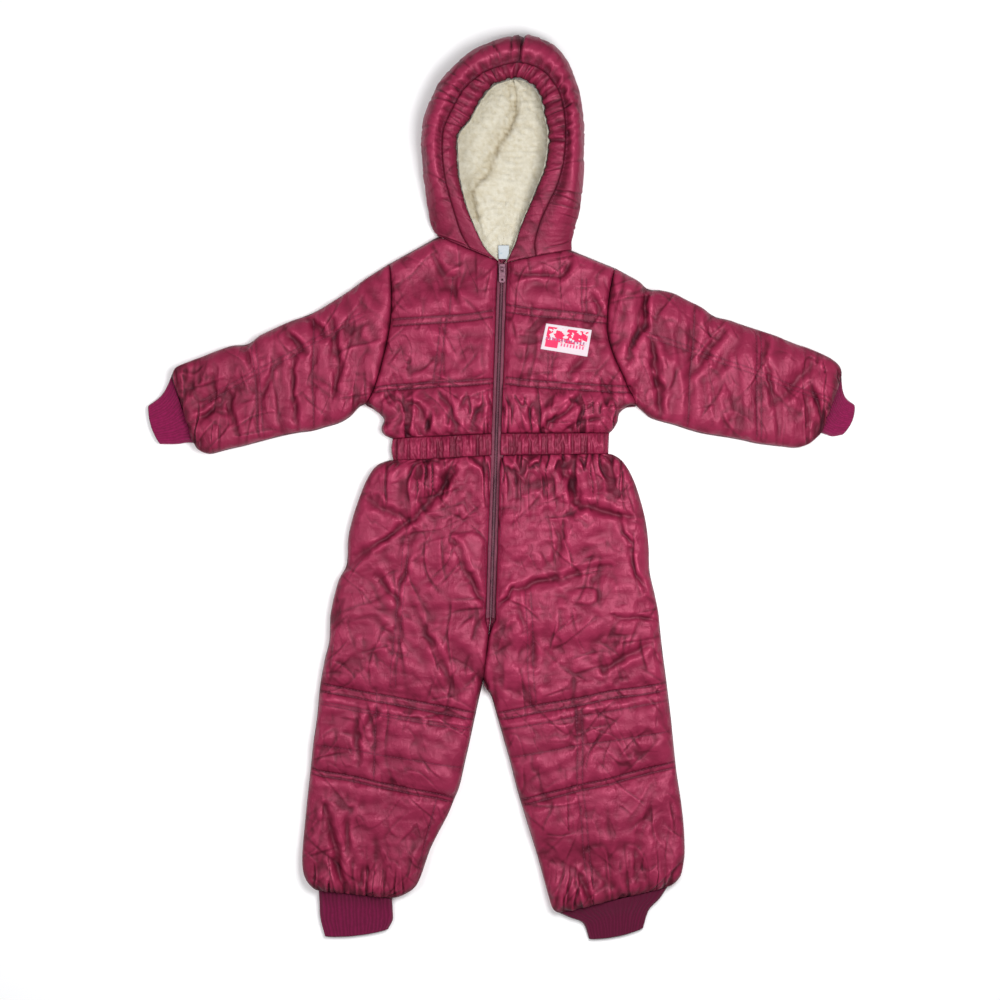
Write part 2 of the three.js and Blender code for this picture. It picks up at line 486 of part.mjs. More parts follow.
// Height of the padded front at a point. gather adds the pleats of a drawn-in edge.
function frontZ(p, gather = 0) {
  const rise = rounded(nearest(p, SIDE_LINES), FRONT_ROUND);
  const waist = mix(WAIST_DIP.keep, 1, rounded(nearest(p, WAIST_LINES), WAIST_DIP.reach));
  const zip = mix(ZIP_DIP.keep, 1, rounded(Math.max(0, toLine(p, ZIP_LINE) - ZIP_WIDTH / 2), ZIP_DIP.reach));
  const cuff = mix(CUFF_DIP.keep, 1, rounded(nearest(p, CUFF_LINES), CUFF_DIP.reach));
  const groove = SEAM_GROOVE.depth * Math.exp(-((nearest(p, SEAM_LINES) / SEAM_GROOVE.spread) ** 2));
  const relief = (foldHeight(p) - quiltDepth(p) - groove + gather) * rise * Math.min(waist, zip, cuff);
  return SEAM_Z + HALF_GAP + (CREST_Z - SEAM_Z) * rise * waist * zip * cuff + relief;
}

// Height of the back's underside: flat on the floor, turned up to the side seams.
function backZ(p) {
  return (SEAM_Z - HALF_GAP) * (1 - rounded(nearest(p, SIDE_LINES), BACK_ROUND));
}

// Collects triangles and turns them into a closed geometry that faces out.
class Skin {
  constructor() {
    this.corners = [];
  }
  triangle(a, b, c) {
    this.corners.push(a, b, c);
  }
  quad(a, b, c, d) {
    this.triangle(a, b, c);
    this.triangle(a, c, d);
  }
  // rows[j][i]; wrap joins the last column to the first.
  grid(rows, wrap, flip) {
    const columns = rows[0].length;
    for (let j = 1; j < rows.length; j++) {
      for (let i = 0; i < columns - (wrap ? 0 : 1); i++) {
        const n = (i + 1) % columns;
        if (flip) this.quad(rows[j - 1][i], rows[j][i], rows[j][n], rows[j - 1][n]);
        else this.quad(rows[j - 1][i], rows[j - 1][n], rows[j][n], rows[j][i]);
      }
    }
  }
  // Joins a fine line to a coarse one that has a point for each listed place on the fine one.
  rim(fine, coarse, places, flip) {
    const add = (a, b, c) => (flip ? this.triangle(a, c, b) : this.triangle(a, b, c));
    for (let k = 1; k < places.length; k++) {
      for (let i = places[k - 1]; i < places[k]; i++) add(coarse[k - 1], fine[i], fine[i + 1]);
      add(coarse[k - 1], fine[places[k]], coarse[k]);
    }
  }
  geometry() {
    let volume = 0;
    for (let i = 0; i < this.corners.length; i += 3) {
      const [a, b, c] = this.corners.slice(i, i + 3);
      volume += a.dot(b.clone().cross(c)) / 6;
    }
    if (volume < 0) for (let i = 0; i < this.corners.length; i += 3) [this.corners[i + 1], this.corners[i + 2]] = [this.corners[i + 2], this.corners[i + 1]];
    const geometry = new THREE.BufferGeometry().setFromPoints(this.corners);
    geometry.computeVertexNormals();
    return geometry;
  }
}

const pick = (list, places) => places.map((i) => list[i]);

// A wall between a fine outer grid and an inner grid at some of its rows and columns.
function panelWall(outer, inner, rowPlaces, columnPlaces) {
  const skin = new Skin();
  skin.grid(outer, false, false);
  skin.grid(inner, false, true);
  const lastRow = outer.length - 1;
  const lastColumn = outer[0].length - 1;
  const column = (grid, i) => grid.map((row) => row[i]);
  skin.rim(outer[0], inner[0], columnPlaces, true);
  skin.rim(outer[lastRow], inner[inner.length - 1], columnPlaces, false);
  skin.rim(column(outer, 0), column(inner, 0), rowPlaces, false);
  skin.rim(column(outer, lastColumn), column(inner, columnPlaces.length - 1), rowPlaces, true);
  return skin.geometry();
}

// A tube wall: rings of outer points, and inner rings at some of the rows and columns.
function tubeWall(outer, inner, rowPlaces, columnPlaces) {
  const skin = new Skin();
  skin.grid(outer, true, false);
  skin.grid(inner, true, true);
  const closed = (ring) => ring.concat([ring[0]]);
  const places = columnPlaces.concat([outer[0].length]);
  skin.rim(closed(outer[0]), closed(inner[0]), places, true);
  skin.rim(closed(outer[outer.length - 1]), closed(inner[inner.length - 1]), places, false);
  return skin.geometry();
}

function spread(count, step) {
  const places = [];
  for (let i = 0; i < count - 1; i += step) places.push(i);
  if (count - 1 - places[places.length - 1] < step / 2 && places.length > 1) places.pop();
  return places.concat([count - 1]);
}

// Moves a point towards another by a length.
function towards(p, q, length) {
  const d = Math.hypot(q.x - p.x, q.y - p.y);
  return { x: p.x + ((q.x - p.x) * length) / d, y: p.y + ((q.y - p.y) * length) / d };
}

// Moves a whole section by half a gap, square to itself, towards the next section.
function pullIn(row, next) {
  const a = row[0];
  const b = row[row.length - 1];
  const length = Math.hypot(b.x - a.x, b.y - a.y);
  let nx = (a.y - b.y) / length;
  let ny = (b.x - a.x) / length;
  const middle = Math.floor(row.length / 2);
  if ((next[middle].x - row[middle].x) * nx + (next[middle].y - row[middle].y) * ny < 0) {
    nx = -nx;
    ny = -ny;
  }
  return row.map((p) => ({ x: p.x + nx * HALF_GAP, y: p.y + ny * HALF_GAP }));
}

// Which columns of the panel's two ends lie on a side seam is told by their distance to it.
const onSeam = (p) => nearest(p, SIDE_LINES) < 0.6;

// The inner face of a wall: flat, and drawn in by the edge wall where the panel ends at a side seam.
function innerGrid(plan, rowPlaces, columnPlaces, flatZ, seamZ) {
  return rowPlaces.map((j) => {
    const row = plan[j];
    const last = row.length - 1;
    return columnPlaces.map((i) => {
      const p = row[i];
      const atEnd = i === 0 || i === last;
      if (atEnd && onSeam(p)) {
        const q = towards(p, i === 0 ? row[last] : row[0], EDGE_WALL);
        return v3(q.x, q.y, seamZ);
      }
      const shoulder = j === plan.length - 1 && onSeam(p);
      if (shoulder) {
        const q = towards(p, plan[0][i], EDGE_WALL);
        return v3(q.x, q.y, seamZ);
      }
      return v3(p.x, p.y, flatZ);
    });
  });
}

// Pleats at a gathered edge: neighbouring columns stand up and down, and fade over the given reach.
function gatherHeight(p, column, lines, height, reach) {
  const fade = 1 - smooth(nearest(p, lines) / reach);
  return (column % 2 ? height : -height) * fade;
}

function frontPanel(plan, columnPlaces, rowPlaces) {
  const outer = plan.map((row) =>
    row.map((p, i) => {
      const gather = gatherHeight(p, i, WAIST_LINES, 1.6, 34) + gatherHeight(p, i, CUFF_LINES, 1.4, 26);
      return v3(p.x, p.y, onSeam(p) ? SEAM_Z + HALF_GAP : frontZ(p, gather));
    }),
  );
  const inner = innerGrid(plan, rowPlaces, columnPlaces, FRONT_INNER_Z, SEAM_Z + HALF_GAP);
  return { geometry: panelWall(outer, inner, rowPlaces, columnPlaces), outer };
}

function backPanel(plan, columnPlaces, rowPlaces) {
  const outer = plan.map((row) => row.map((p) => v3(p.x, p.y, onSeam(p) ? SEAM_Z - HALF_GAP : backZ(p))));
  const inner = innerGrid(plan, rowPlaces, columnPlaces, BACK_INNER_Z, SEAM_Z - HALF_GAP);
  return panelWall(outer, inner, rowPlaces, columnPlaces);
}

// Shares of a section's width at which the columns lie, closer together at the seams.
const LEG_COLUMNS = [0, 0.025, 0.07, 0.14, 0.23, 0.32, 0.41, 0.5, 0.59, 0.68, 0.77, 0.86, 0.93, 0.975, 1];
const LEG_INNER = [0, 3, 5, 7, 9, 11, 14];
const BACK_COLUMNS = [0, 0.03, 0.1, 0.5, 0.9, 0.97, 1];
const BACK_INNER = [0, 2, 3, 4, 6];

function legPlan(table, side, columns, isBack) {
  const rows = table.map((r) => {
    const seam = isBack ? centreX(r.inY) + side * HALF_GAP : frontEdgeX(side, r.inY);
    const inner = { x: r.inX === undefined ? seam : r.inX, y: r.inY };
    return columns.map((s) => mixPoint({ x: r.outX, y: r.outY }, inner, s));
  });
  rows[0] = pullIn(rows[0], rows[1]);
  rows[rows.length - 1] = pullIn(rows[rows.length - 1], rows[rows.length - 2]);
  return rows;
}

function bodiceColumns(neck) {
  const n = neck.across;
  return [0, 0.03, 0.08, 0.16, 0.25, 0.34, n, 0.51, 0.59, 0.67, 0.75, 0.83, 0.9, 0.96, 1];
}
const BODICE_INNER = [0, 3, 6, 9, 12, 14];
// Rows of the bodice at which its inner face has points, and the sleeve's columns that meet them at the armhole.
const BODICE_ROWS = [0, 3, 5, 8, 10, 11, 12, 15, 18];
const ARMHOLE_PLACES = [0, 3, 5, 6, 7, 10, 13];

function bodicePlan(table, neck, side) {
  const rows = table.map((_, j) => bodiceColumns(neck).map((s) => bodicePoint(table, neck, side, j, s)));
  rows[0] = pullIn(rows[0], rows[1]);
  const last = rows.length - 1;
  rows[last] = rows[last].map((p, i) => (i >= 6 ? { x: p.x, y: p.y - HALF_GAP } : p));
  return rows;
}

// The back of the bodice runs from armhole to armhole under both fronts, and its top follows the shoulders and nape.
function bodiceBackPlan() {
  const rows = RIGHT_BODICE.map((r, j) => {
    const l = LEFT_BODICE[j];
    const a = { x: r.sideX, y: r.sideY };
    const b = { x: l.sideX, y: l.sideY };
    const neckRight = bodicePoint(RIGHT_BODICE, RIGHT_NECK, -1, j, RIGHT_NECK.across);
    const neckLeft = bodicePoint(LEFT_BODICE, LEFT_NECK, 1, j, LEFT_NECK.across);
    const middle = { x: NAPE.x, y: mix(r.zipY, NAPE.y - 0.6, r.rise) };
    const half = [a, mixPoint(a, neckRight, 0.08), mixPoint(a, neckRight, 0.25), mixPoint(a, neckRight, 0.6), neckRight, mixPoint(neckRight, middle, 0.2), mixPoint(neckRight, middle, 0.6), middle];
    const rest = [mixPoint(neckLeft, middle, 0.6), mixPoint(neckLeft, middle, 0.2), neckLeft, mixPoint(b, neckLeft, 0.6), mixPoint(b, neckLeft, 0.25), mixPoint(b, neckLeft, 0.08), b];
    return half.concat(rest);
  });
  rows[0] = pullIn(rows[0], rows[1]);
  return rows;
}

// Puts a section halfway between each two of a sleeve's sections.
function halved(table) {
  const rows = [table[0]];
  for (let j = 1; j < table.length; j++) {
    const [a, b] = [table[j - 1], table[j]];
    const half = {};
    for (const key of Object.keys(b)) half[key] = mix(a[key], b[key], 0.5);
    rows.push(half, b);
  }
  return rows;
}

// A sleeve is one piece: a flat tube folded along its upper edge and seamed along its lower one.
function sleeveTube(table, bodice, side) {
  const armholeRow = armhole(bodice).map((p) => ({ x: p.x + side * 0.4, y: p.y }));
  const low = armholeRow[0].y;
  const high = armholeRow[armholeRow.length - 1].y;
  const shares = armholeRow.map((p) => (p.y - low) / (high - low));
  const plan = table.map((r, j) =>
    shares.map((s, i) => (j === 0 ? armholeRow[i] : mixPoint({ x: r.loX, y: r.loY }, { x: r.upX, y: r.upY }, s))),
  );
  plan[plan.length - 1] = pullIn(plan[plan.length - 1], plan[plan.length - 2]);
  const last = shares.length - 1;
  const ring = (row) => {
    const top = row.map((p, i) => {
      const atSeam = i === 0 || i === last;
      return v3(p.x, p.y, atSeam ? SEAM_Z : frontZ(p, gatherHeight(p, i, CUFF_LINES, 1.4, 26)));
    });
    const under = row.slice(1, last).reverse().map((p) => v3(p.x, p.y, backZ(p)));
    return top.concat(under);
  };
  const topPlaces = ARMHOLE_PLACES;
  const underPlaces = ARMHOLE_PLACES.slice(1, -1).reverse();
  const columnPlaces = topPlaces.concat(underPlaces.map((i) => 2 * last - i));
  const innerRing = (row) => {
    const inset = (i) => towards(row[i], i === 0 ? row[last] : row[0], EDGE_WALL);
    const top = topPlaces.map((i) => {
      const p = i === 0 || i === last ? inset(i) : row[i];
      return v3(p.x, p.y, i === 0 || i === last ? SEAM_Z : FRONT_INNER_Z);
    });
    return top.concat(underPlaces.map((i) => v3(row[i].x, row[i].y, BACK_INNER_Z)));
  };
  const rowPlaces = spread(plan.length, 4);
  return tubeWall(plan.map(ring), rowPlaces.map((j) => innerRing(plan[j])), rowPlaces, columnPlaces);
}

// The waistband is a gathered casing. Its pleats stand on the front and it lies flat below.
const BAND = { pleats: 21, height: 1.7, crest: 17, share: [0, 0.22, 0.5, 0.78, 1] };

function bandPlan(side, columns, isBack) {
  const right = side < 0;
  const lowOut = right ? { x: -118, y: 29.7 } : { x: 119, y: 37.8 };
  const midOut = right ? { x: -120.5, y: 42 } : { x: 119, y: 50 };
  const topOut = right ? { x: -119, y: 54.5 } : { x: 120, y: 60.5 };
  const edge = (y) => ({ x: isBack ? centreX(y) : frontEdgeX(side, y), y });
  const outer = (s) => (s < 0.5 ? mixPoint(lowOut, midOut, s * 2) : mixPoint(midOut, topOut, s * 2 - 1));
  const rows = BAND.share.map((s) => columns.map((c) => mixPoint(outer(s), edge(mix(ZIP_WAIST_LOW.y, ZIP_WAIST.y, s)), c)));
  rows[0] = pullIn(rows[0], rows[1]);
  rows[rows.length - 1] = pullIn(rows[rows.length - 1], rows[rows.length - 2]);
  return rows;
}

function bandFront(side) {
  const count = BAND.pleats * 2;
  const columns = [0, 0.03];
  for (let i = 0; i <= count; i++) columns.push(mix(0.07, 1, i / count));
  const plan = bandPlan(side, columns, false);
  const outer = plan.map((row, j) =>
    row.map((p, i) => {
      if (i === 0) return v3(p.x, p.y, SEAM_Z + HALF_GAP);
      const rise = rounded(nearest(p, SIDE_LINES), 12);
      const zip = mix(0.62, 1, rounded(toLine(p, ZIP_LINE) - ZIP_WIDTH / 2, 6));
      const uneven = 0.75 + 0.25 * Math.sin(i * 1.7);
      const pleat = (i % 2 ? 1 : -1) * BAND.height * uneven * (j === 0 || j === plan.length - 1 ? 0.7 : 1);
      const swell = Math.sin(Math.PI * BAND.share[j]) * 1.6;
      return v3(p.x, p.y, SEAM_Z + HALF_GAP + (BAND.crest - SEAM_Z + swell + pleat) * rise * zip);
    }),
  );
  const columnPlaces = [0, 4].concat(spread(columns.length - 4, 10).slice(1).map((i) => i + 4));
  columnPlaces[columnPlaces.length - 1] = columns.length - 1;
  const rowPlaces = [0, BAND.share.length - 1];
  const inner = innerGrid(plan, rowPlaces, columnPlaces, FRONT_INNER_Z, SEAM_Z + HALF_GAP);
  return panelWall(outer, inner, rowPlaces, columnPlaces);
}

function bandBack() {
  const right = bandPlan(-1, [0, 0.04, 0.12, 0.5, 1], true);
  const left = bandPlan(1, [0.5, 0.12, 0.04, 0], true);
  return backPanel(right.map((row, j) => row.concat(left[j])), [0, 2, 3, 4, 5, 6, 8], [0, BAND.share.length - 1]);
}

// A ribbed cuff: a flat tube with raised ribs on top, open at both ends.
function cuffTube(cuff) {
  const rows = cuff.sections.length - 1;
  const topCount = RIB.count * 2;
  const underShares = [0.94, 0.8, 0.5, 0.2, 0.06];
  const point = (j, s) => {
    const r = cuff.sections[j];
    const p = mixPoint({ x: r.loX, y: r.loY }, { x: r.upX, y: r.upY }, s);
    const prev = cuff.sections[Math.max(0, j - 1)];
    const dx = (r.loX + r.upX - prev.loX - prev.upX) / 2;
    const dy = (r.loY + r.upY - prev.loY - prev.upY) / 2;
    const length = Math.hypot(dx, dy) || 1;
    const bulge = (cuff.bulge * 4 * s * (1 - s) * (j === rows ? 1 : 0)) / length;
    return { x: p.x + dx * bulge, y: p.y + dy * bulge };
  };
  const width = (j) => {
    const r = cuff.sections[j];
    return Math.hypot(r.upX - r.loX, r.upY - r.loY);
  };
  const topZ = (j) => mix(RIB.seamTop, RIB.hemTop, smooth(j / rows));
  const ring = (j) => {
    const points = [];
    for (let i = 0; i <= topCount; i++) {
      const s = i / topCount;
      const p = point(j, s);
      const rise = rounded(Math.min(s, 1 - s) * width(j), RIB.round);
      const rib = i === 0 || i === topCount ? 0 : (i % 2 ? RIB.height : 0) * rise;
      points.push(v3(p.x, p.y, mix(RIB.edgeZ, topZ(j) - RIB.height, rise) + rib));
    }
    for (const s of underShares) {
      const p = point(j, s);
      const rise = rounded(Math.min(s, 1 - s) * width(j), RIB.round);
      points.push(v3(p.x, p.y, RIB.edgeZ * (1 - rise)));
    }
    return points;
  };
  const topPlaces = [0, 4, 12, 24, 32, topCount];
  const innerRing = (j) => {
    const points = topPlaces.map((i) => {
      const atEnd = i === 0 || i === topCount;
      const s = clamp01(i / topCount + (i === 0 ? 1 : i === topCount ? -1 : 0) * (RIB.wall / width(j)));
      const p = point(j, s);
      return v3(p.x, p.y, atEnd ? RIB.edgeZ : topZ(j) - RIB.height - RIB.wall);
    });
    for (const s of [underShares[1], underShares[2], underShares[3]]) {
      const p = point(j, s);
      points.push(v3(p.x, p.y, RIB.wall));
    }
    return points;
  };
  const all = cuff.sections.map((_, j) => j);
  const columnPlaces = topPlaces.concat([topCount + 2, topCount + 3, topCount + 4]);
  return tubeWall(all.map(ring), all.map(innerRing), all, columnPlaces);
}

// How far the hood has risen at a section: nothing at the neck, all of it higher up.
function hoodLift(t) {
  return smooth(Math.min(t, HOOD.length - 1 - t) / 5.5);
}

function hoodSection(t) {
  const j = Math.min(HOOD.length - 2, Math.floor(t));
  const s = t - j;
  const a = HOOD[j];
  const b = HOOD[j + 1];
  const at = (key) => ({ x: mix(a[key + "X"], b[key + "X"], s), y: mix(a[key + "Y"], b[key + "Y"], s) });
  const rightSide = t <= CROWN;
  const climb = rightSide ? t / CROWN : (HOOD.length - 1 - t) / (HOOD.length - 1 - CROWN);
  const back = mixPoint(NAPE, CROWN_BACK, climb);
  return { open: at("open"), seam: at("seam"), edge: at("edge"), back };
}

// A point of the hood's outer face: t counts sections round the opening, k the rows of the profile.
function hoodPoint(t, k, side) {
  const section = hoodSection(t);
  const row = HOOD_PROFILE[k];
  let p = mixPoint(section[row.from], section[row.to], row.share);
  if (row.inset) {
    const room = 0.45 * Math.hypot(p.x - section.back.x, p.y - section.back.y);
    p = towards(p, section.back, Math.min(row.inset, room));
  }
  if (row.to === "back" && row.share === 1) p = { x: p.x + side * HALF_GAP, y: p.y };
  return v3(p.x, p.y, mix(row.neckZ, row.fullZ, hoodLift(t)));
}

// Outward direction of the hood's face, kept within the seam's plane at the neck and at the crown.
function hoodNormal(t, k, side, ends) {
  const step = 0.5;
  const t0 = Math.max(ends[0], t - step);
  const t1 = Math.min(ends[1], t + step);
  const last = HOOD_PROFILE.length - 1;
  const round = hoodPoint(t1, k, side).sub(hoodPoint(t0, k, side));
  const down = hoodPoint(t, Math.min(last, k + 1), side).sub(hoodPoint(t, Math.max(0, k - 1), side));
  if (k >= 10) return v3(0, 0, -1);
  const n = round.cross(down).normalize();
  if (t === ends[0] || t === ends[1]) {
    const a = hoodPoint(t, k < 8 ? 0 : 8, side);
    const b = hoodPoint(t, k < 8 ? 8 : last, side);
    const square = v3(a.y - b.y, b.x - a.x, 0).normalize();
    n.addScaledVector(square, -n.dot(square)).normalize();
  }
  return n;
}

function hoodWall(first, last, kFirst, kLast, side, options) {
  const { fine, depth, pleat, ends } = options;
  const columns = [];
  for (let t = first; t < last; t++) for (let s = 0; s < fine; s++) columns.push(t + s / fine);
  columns.push(last);
  const ks = [];
  for (let k = kFirst; k <= kLast; k++) ks.push(k);
  const at = (t, k, off) => {
    const p = hoodPoint(t, k, side);
    p.addScaledVector(hoodNormal(t, k, side, ends), off);
    if (t === CROWN && side !== 0) p.x += side * HALF_GAP;
    return p;
  };
  const pulled = (t, k, off) => {
    const p = at(t, k, off);
    if (k === CASING_END && kFirst < CASING_END) return p.lerp(at(t, k - 1, off), 0.02);
    if (k === CASING_END) return p.lerp(at(t, k + 1, off), 0.05);
    return p;
  };
  const outer = columns.map((t, i) => ks.map((k) => pulled(t, k, k >= 9 ? 0 : pleat(k, i, t))));
  const rowPlaces = columns.map((_, i) => i).filter((i) => i % fine === 0);
  const columnPlaces = ks.map((_, i) => i);
  const inner = rowPlaces.map((i) => ks.map((k) => pulled(columns[i], k, -depth)));
  return panelWall(outer, inner, rowPlaces, columnPlaces);
}

// The gathered casing round the face: every other column of its outer face stands up.
function hoodCasing() {
  const pleat = (k, i, t) => {
    const drawn = 0.35 + 0.65 * hoodLift(t);
    const depth = [0.5, 1.7, 1.7, 0.9][k];
    return (i % 2 ? depth : -depth) * drawn;
  };
  const last = HOOD.length - 1;
  return hoodWall(0, last, 0, CASING_END, 0, { fine: 3, depth: HOOD_WALL, pleat, ends: [0, last] });
}

function hoodShell(side) {
  const first = side < 0 ? 0 : CROWN;
  const last = side < 0 ? CROWN : HOOD.length - 1;
  const pleat = (k, i, t) => {
    const depth = { 3: 0.9, 4: 1.4, 5: 1.2, 6: 0.8, 7: 0.4 }[k] || 0;
    return (i % 2 ? depth : -depth) * hoodLift(t);
  };
  return hoodWall(first, last, CASING_END, HOOD_PROFILE.length - 1, side, { fine: 2, depth: HOOD_WALL, pleat, ends: [first, last] });
}

// One half of the pile lining, from under the opening's edge to the back seam.
function hoodLining(side) {
  const first = side < 0 ? 1 : CROWN;
  const last = side < 0 ? CROWN : HOOD.length - 2;
  const faces = (t, off) => {
    const section = hoodSection(t);
    const lift = hoodLift(t);
    const ends = side < 0 ? [0, CROWN] : [CROWN, HOOD.length - 1];
    const rows = [];
    for (let k = 0; k <= CASING_END; k++) {
      const p = hoodPoint(t, k, side);
      rows.push(p.addScaledVector(hoodNormal(t, k, side, ends), -(HOOD_WALL + SEAM_GAP + off)));
    }
    for (const r of LINING_PROFILE) {
      const p = mixPoint(section.seam, section.edge, r.share - off * 0.012);
      const top = mix(r.neckTop, r.fullTop, lift);
      rows.push(v3(p.x, p.y, top - off * (lift > 0.5 ? 0.55 : 0.9)));
    }
    const floorZ = HOOD_WALL + SEAM_GAP + off;
    const foot = mixPoint(section.seam, section.edge, 0.34 - off * 0.03);
    rows.push(v3(foot.x, foot.y, mix(floorZ + 2, floorZ + 5, lift) - off * 0.4));
    const toe = mixPoint(section.seam, section.back, 0.06);
    rows.push(v3(toe.x, toe.y, floorZ));
    const mid = mixPoint(section.seam, section.back, 0.55);
    rows.push(v3(mid.x, mid.y, floorZ));
    rows.push(v3(section.back.x + side * HALF_GAP, section.back.y, floorZ));
    if (t === CROWN) for (const p of rows.slice(0, -1)) p.x += side * HALF_GAP;
    return rows;
  };
  const columns = [];
  for (let t = first; t <= last; t++) columns.push(t);
  const outer = columns.map((t) => faces(t, 0));
  const inner = columns.map((t) => faces(t, LINING_WALL));
  return panelWall(outer, inner, columns.map((_, i) => i), outer[0].map((_, i) => i));
}

// A strip along the zip: its left and right borders are offsets from the centre line.
function zipStrip(from, to, base, top, crown) {
  const stations = [ZIP_TOP, ZIP_WAIST, ZIP_WAIST_LOW, { x: ZIP_END.x, y: ZIP_END.y + 0.5 }];
  const skin = new Skin();
  const ring = (p) => {
    const middle = (from + to) / 2;
    return [v3(p.x + from, p.y, base), v3(p.x + to, p.y, base), v3(p.x + to, p.y, top - crown), v3(p.x + middle, p.y, top), v3(p.x + from, p.y, top - crown)];
  };
  const rings = stations.map(ring);
  skin.grid(rings, true, false);
  const cap = (r, flip) => {
    for (let i = 2; i < r.length; i++) flip ? skin.triangle(r[0], r[i], r[i - 1]) : skin.triangle(r[0], r[i - 1], r[i]);
  };
  cap(rings[0], true);
  cap(rings[rings.length - 1], false);
  return skin.geometry();
}

// Slider: a plate whose edges turn down on both sides of the coil, with a lug bored across for the pull tab.
const SLIDER = { x: 1.75, y: 240.5, length: 11, width: 8.6, slot: 4.2, foot: 12.8, base: 14.7, top: 17.3, corner: 1.1 };
const LUG = { width: 2.2, length: 5, height: 3.8, bore: 1.15, centre: 1.9, sides: 12 };
const TAB = { length: 15, width: 6.8, thickness: 1.1, bar: 1.1, eye: 3.5, slot: 3.2, corner: 1.6 };
const PIVOT = v3(SLIDER.x, SLIDER.y, SLIDER.top + LUG.centre);

function toManifold(geometry) {
  const bare = geometry.index ? geometry.toNonIndexed() : geometry.clone();
  bare.deleteAttribute("normal");
  bare.deleteAttribute("uv");
  const merged = mergeVertices(bare, 1e-4);
  const vertProperties = new Float32Array(merged.attributes.position.array);
  const triVerts = new Uint32Array(merged.index.array);
  return new wasm.Manifold(new wasm.Mesh({ numProp: 3, vertProperties, triVerts }));
}

function fromManifold(solid) {
  const mesh = solid.getMesh();
  const positions = [];
  for (const v of mesh.triVerts) positions.push(...mesh.vertProperties.slice(v * 3, v * 3 + 3));
  const geometry = new THREE.BufferGeometry();
  geometry.setAttribute("position", new THREE.Float32BufferAttribute(positions, 3));
  geometry.computeVertexNormals();
  return geometry;
}

function outline(points) {
  const shape = new THREE.Shape();
  points.forEach(([x, y], i) => (i ? shape.lineTo(x, y) : shape.moveTo(x, y)));
  shape.closePath();
  return shape;
}

// The slider's section lies in X and Z, and the lug's in Y and Z.
function sliderGeometry() {
  const half = SLIDER.width / 2;
  const slot = SLIDER.slot / 2;
  const high = SLIDER.top - SLIDER.corner;
  const section = outline([
    [-half, SLIDER.foot], [-slot, SLIDER.foot], [-slot, SLIDER.base], [slot, SLIDER.base], [slot, SLIDER.foot],
    [half, SLIDER.foot], [half, high], [half - SLIDER.corner, SLIDER.top], [SLIDER.corner - half, SLIDER.top], [-half, high],
  ]);
  const plate = new THREE.ExtrudeGeometry(section, { depth: SLIDER.length, bevelEnabled: false });
  plate.rotateX(Math.PI / 2);
  plate.translate(0, SLIDER.length / 2, 0);
  const reach = LUG.length / 2;
  const low = SLIDER.top - 0.5;
  const top = SLIDER.top + LUG.height;
  const side = outline([[-reach, low], [reach, low], [reach, top - 1.5], [reach - 1.5, top], [1.5 - reach, top], [-reach, top - 1.5]]);
  const bore = [];
  for (let i = 0; i < LUG.sides; i++) {
    const a = (-i * 2 * Math.PI) / LUG.sides;
    bore.push([LUG.bore * Math.cos(a), PIVOT.z + LUG.bore * Math.sin(a)]);
  }
  side.holes.push(outline(bore));
  const lug = new THREE.ExtrudeGeometry(side, { depth: LUG.width, bevelEnabled: false });
  lug.rotateX(Math.PI / 2);
  lug.rotateZ(Math.PI / 2);
  lug.translate(-LUG.width / 2, 0, 0);
  const solid = toManifold(plate).add(toManifold(lug));
  return fromManifold(solid).translate(SLIDER.x, SLIDER.y, 0);
}

// The pull tab lies along -Y from its cross bar, which passes through the lug.
function tabGeometry() {
  const half = TAB.width / 2;
  const c = TAB.corner;
  const end = -TAB.length;
  const plan = outline([
    [-half, TAB.bar / 2], [-half, end + c], [c - half, end], [half - c, end], [half, end + c], [half, TAB.bar / 2],
  ]);
  const eye = TAB.slot / 2;
  plan.holes.push(outline([[-eye, -TAB.bar / 2], [eye, -TAB.bar / 2], [eye, -TAB.eye], [-eye, -TAB.eye]]));
  plan.holes.push(outline([[-1, end + 4.4], [1, end + 4.4], [1, end + 2], [-1, end + 2]]));
  const tab = new THREE.ExtrudeGeometry(plan, { depth: TAB.thickness, bevelEnabled: false });
  tab.translate(0, 0, -TAB.thickness / 2);
  return tab;
}

// A thin label that follows the surface under it: corners in order round it, counts of columns and rows.
function labelGeometry(corners, columns, rows, surface, thickness) {
  const grid = (off) => {
    const list = [];
    for (let j = 0; j <= rows; j++) {
      const row = [];
      for (let i = 0; i <= columns; i++) {
        const low = mixPoint(corners[0], corners[1], i / columns);
        const high = mixPoint(corners[3], corners[2], i / columns);
        const p = mixPoint(low, high, j / rows);
        row.push(v3(p.x, p.y, surface(p) + off));
      }
      list.push(row);
    }
    return list;
  };
  const all = (count) => Array.from({ length: count + 1 }, (_, i) => i);
  return panelWall(grid(SEAM_GAP + thickness), grid(SEAM_GAP), all(rows), all(columns));
}

// Height of a panel's faceted top at a point, from the triangles of its outer grid.
function facetHeight(outer, p) {
  for (let j = 1; j < outer.length; j++) {
    for (let i = 1; i < outer[0].length; i++) {
      const [a, b, c, d] = [outer[j - 1][i - 1], outer[j - 1][i], outer[j][i], outer[j][i - 1]];
      for (const [q, r, s] of [[a, b, c], [a, c, d]]) {
        const area = (r.x - q.x) * (s.y - q.y) - (s.x - q.x) * (r.y - q.y);
        const u = ((p.x - q.x) * (s.y - q.y) - (s.x - q.x) * (p.y - q.y)) / area;
        const w = ((r.x - q.x) * (p.y - q.y) - (p.x - q.x) * (r.y - q.y)) / area;
        if (u >= -1e-6 && w >= -1e-6 && u + w <= 1 + 1e-6) return q.z + u * (r.z - q.z) + w * (s.z - q.z);
      }
    }
  }
  return CREST_Z;
}

const CHEST_LABEL = [{ x: 43.9, y: 152.3 }, { x: 95.2, y: 144.1 }, { x: 100.2, y: 173.4 }, { x: 50, y: 180.4 }];
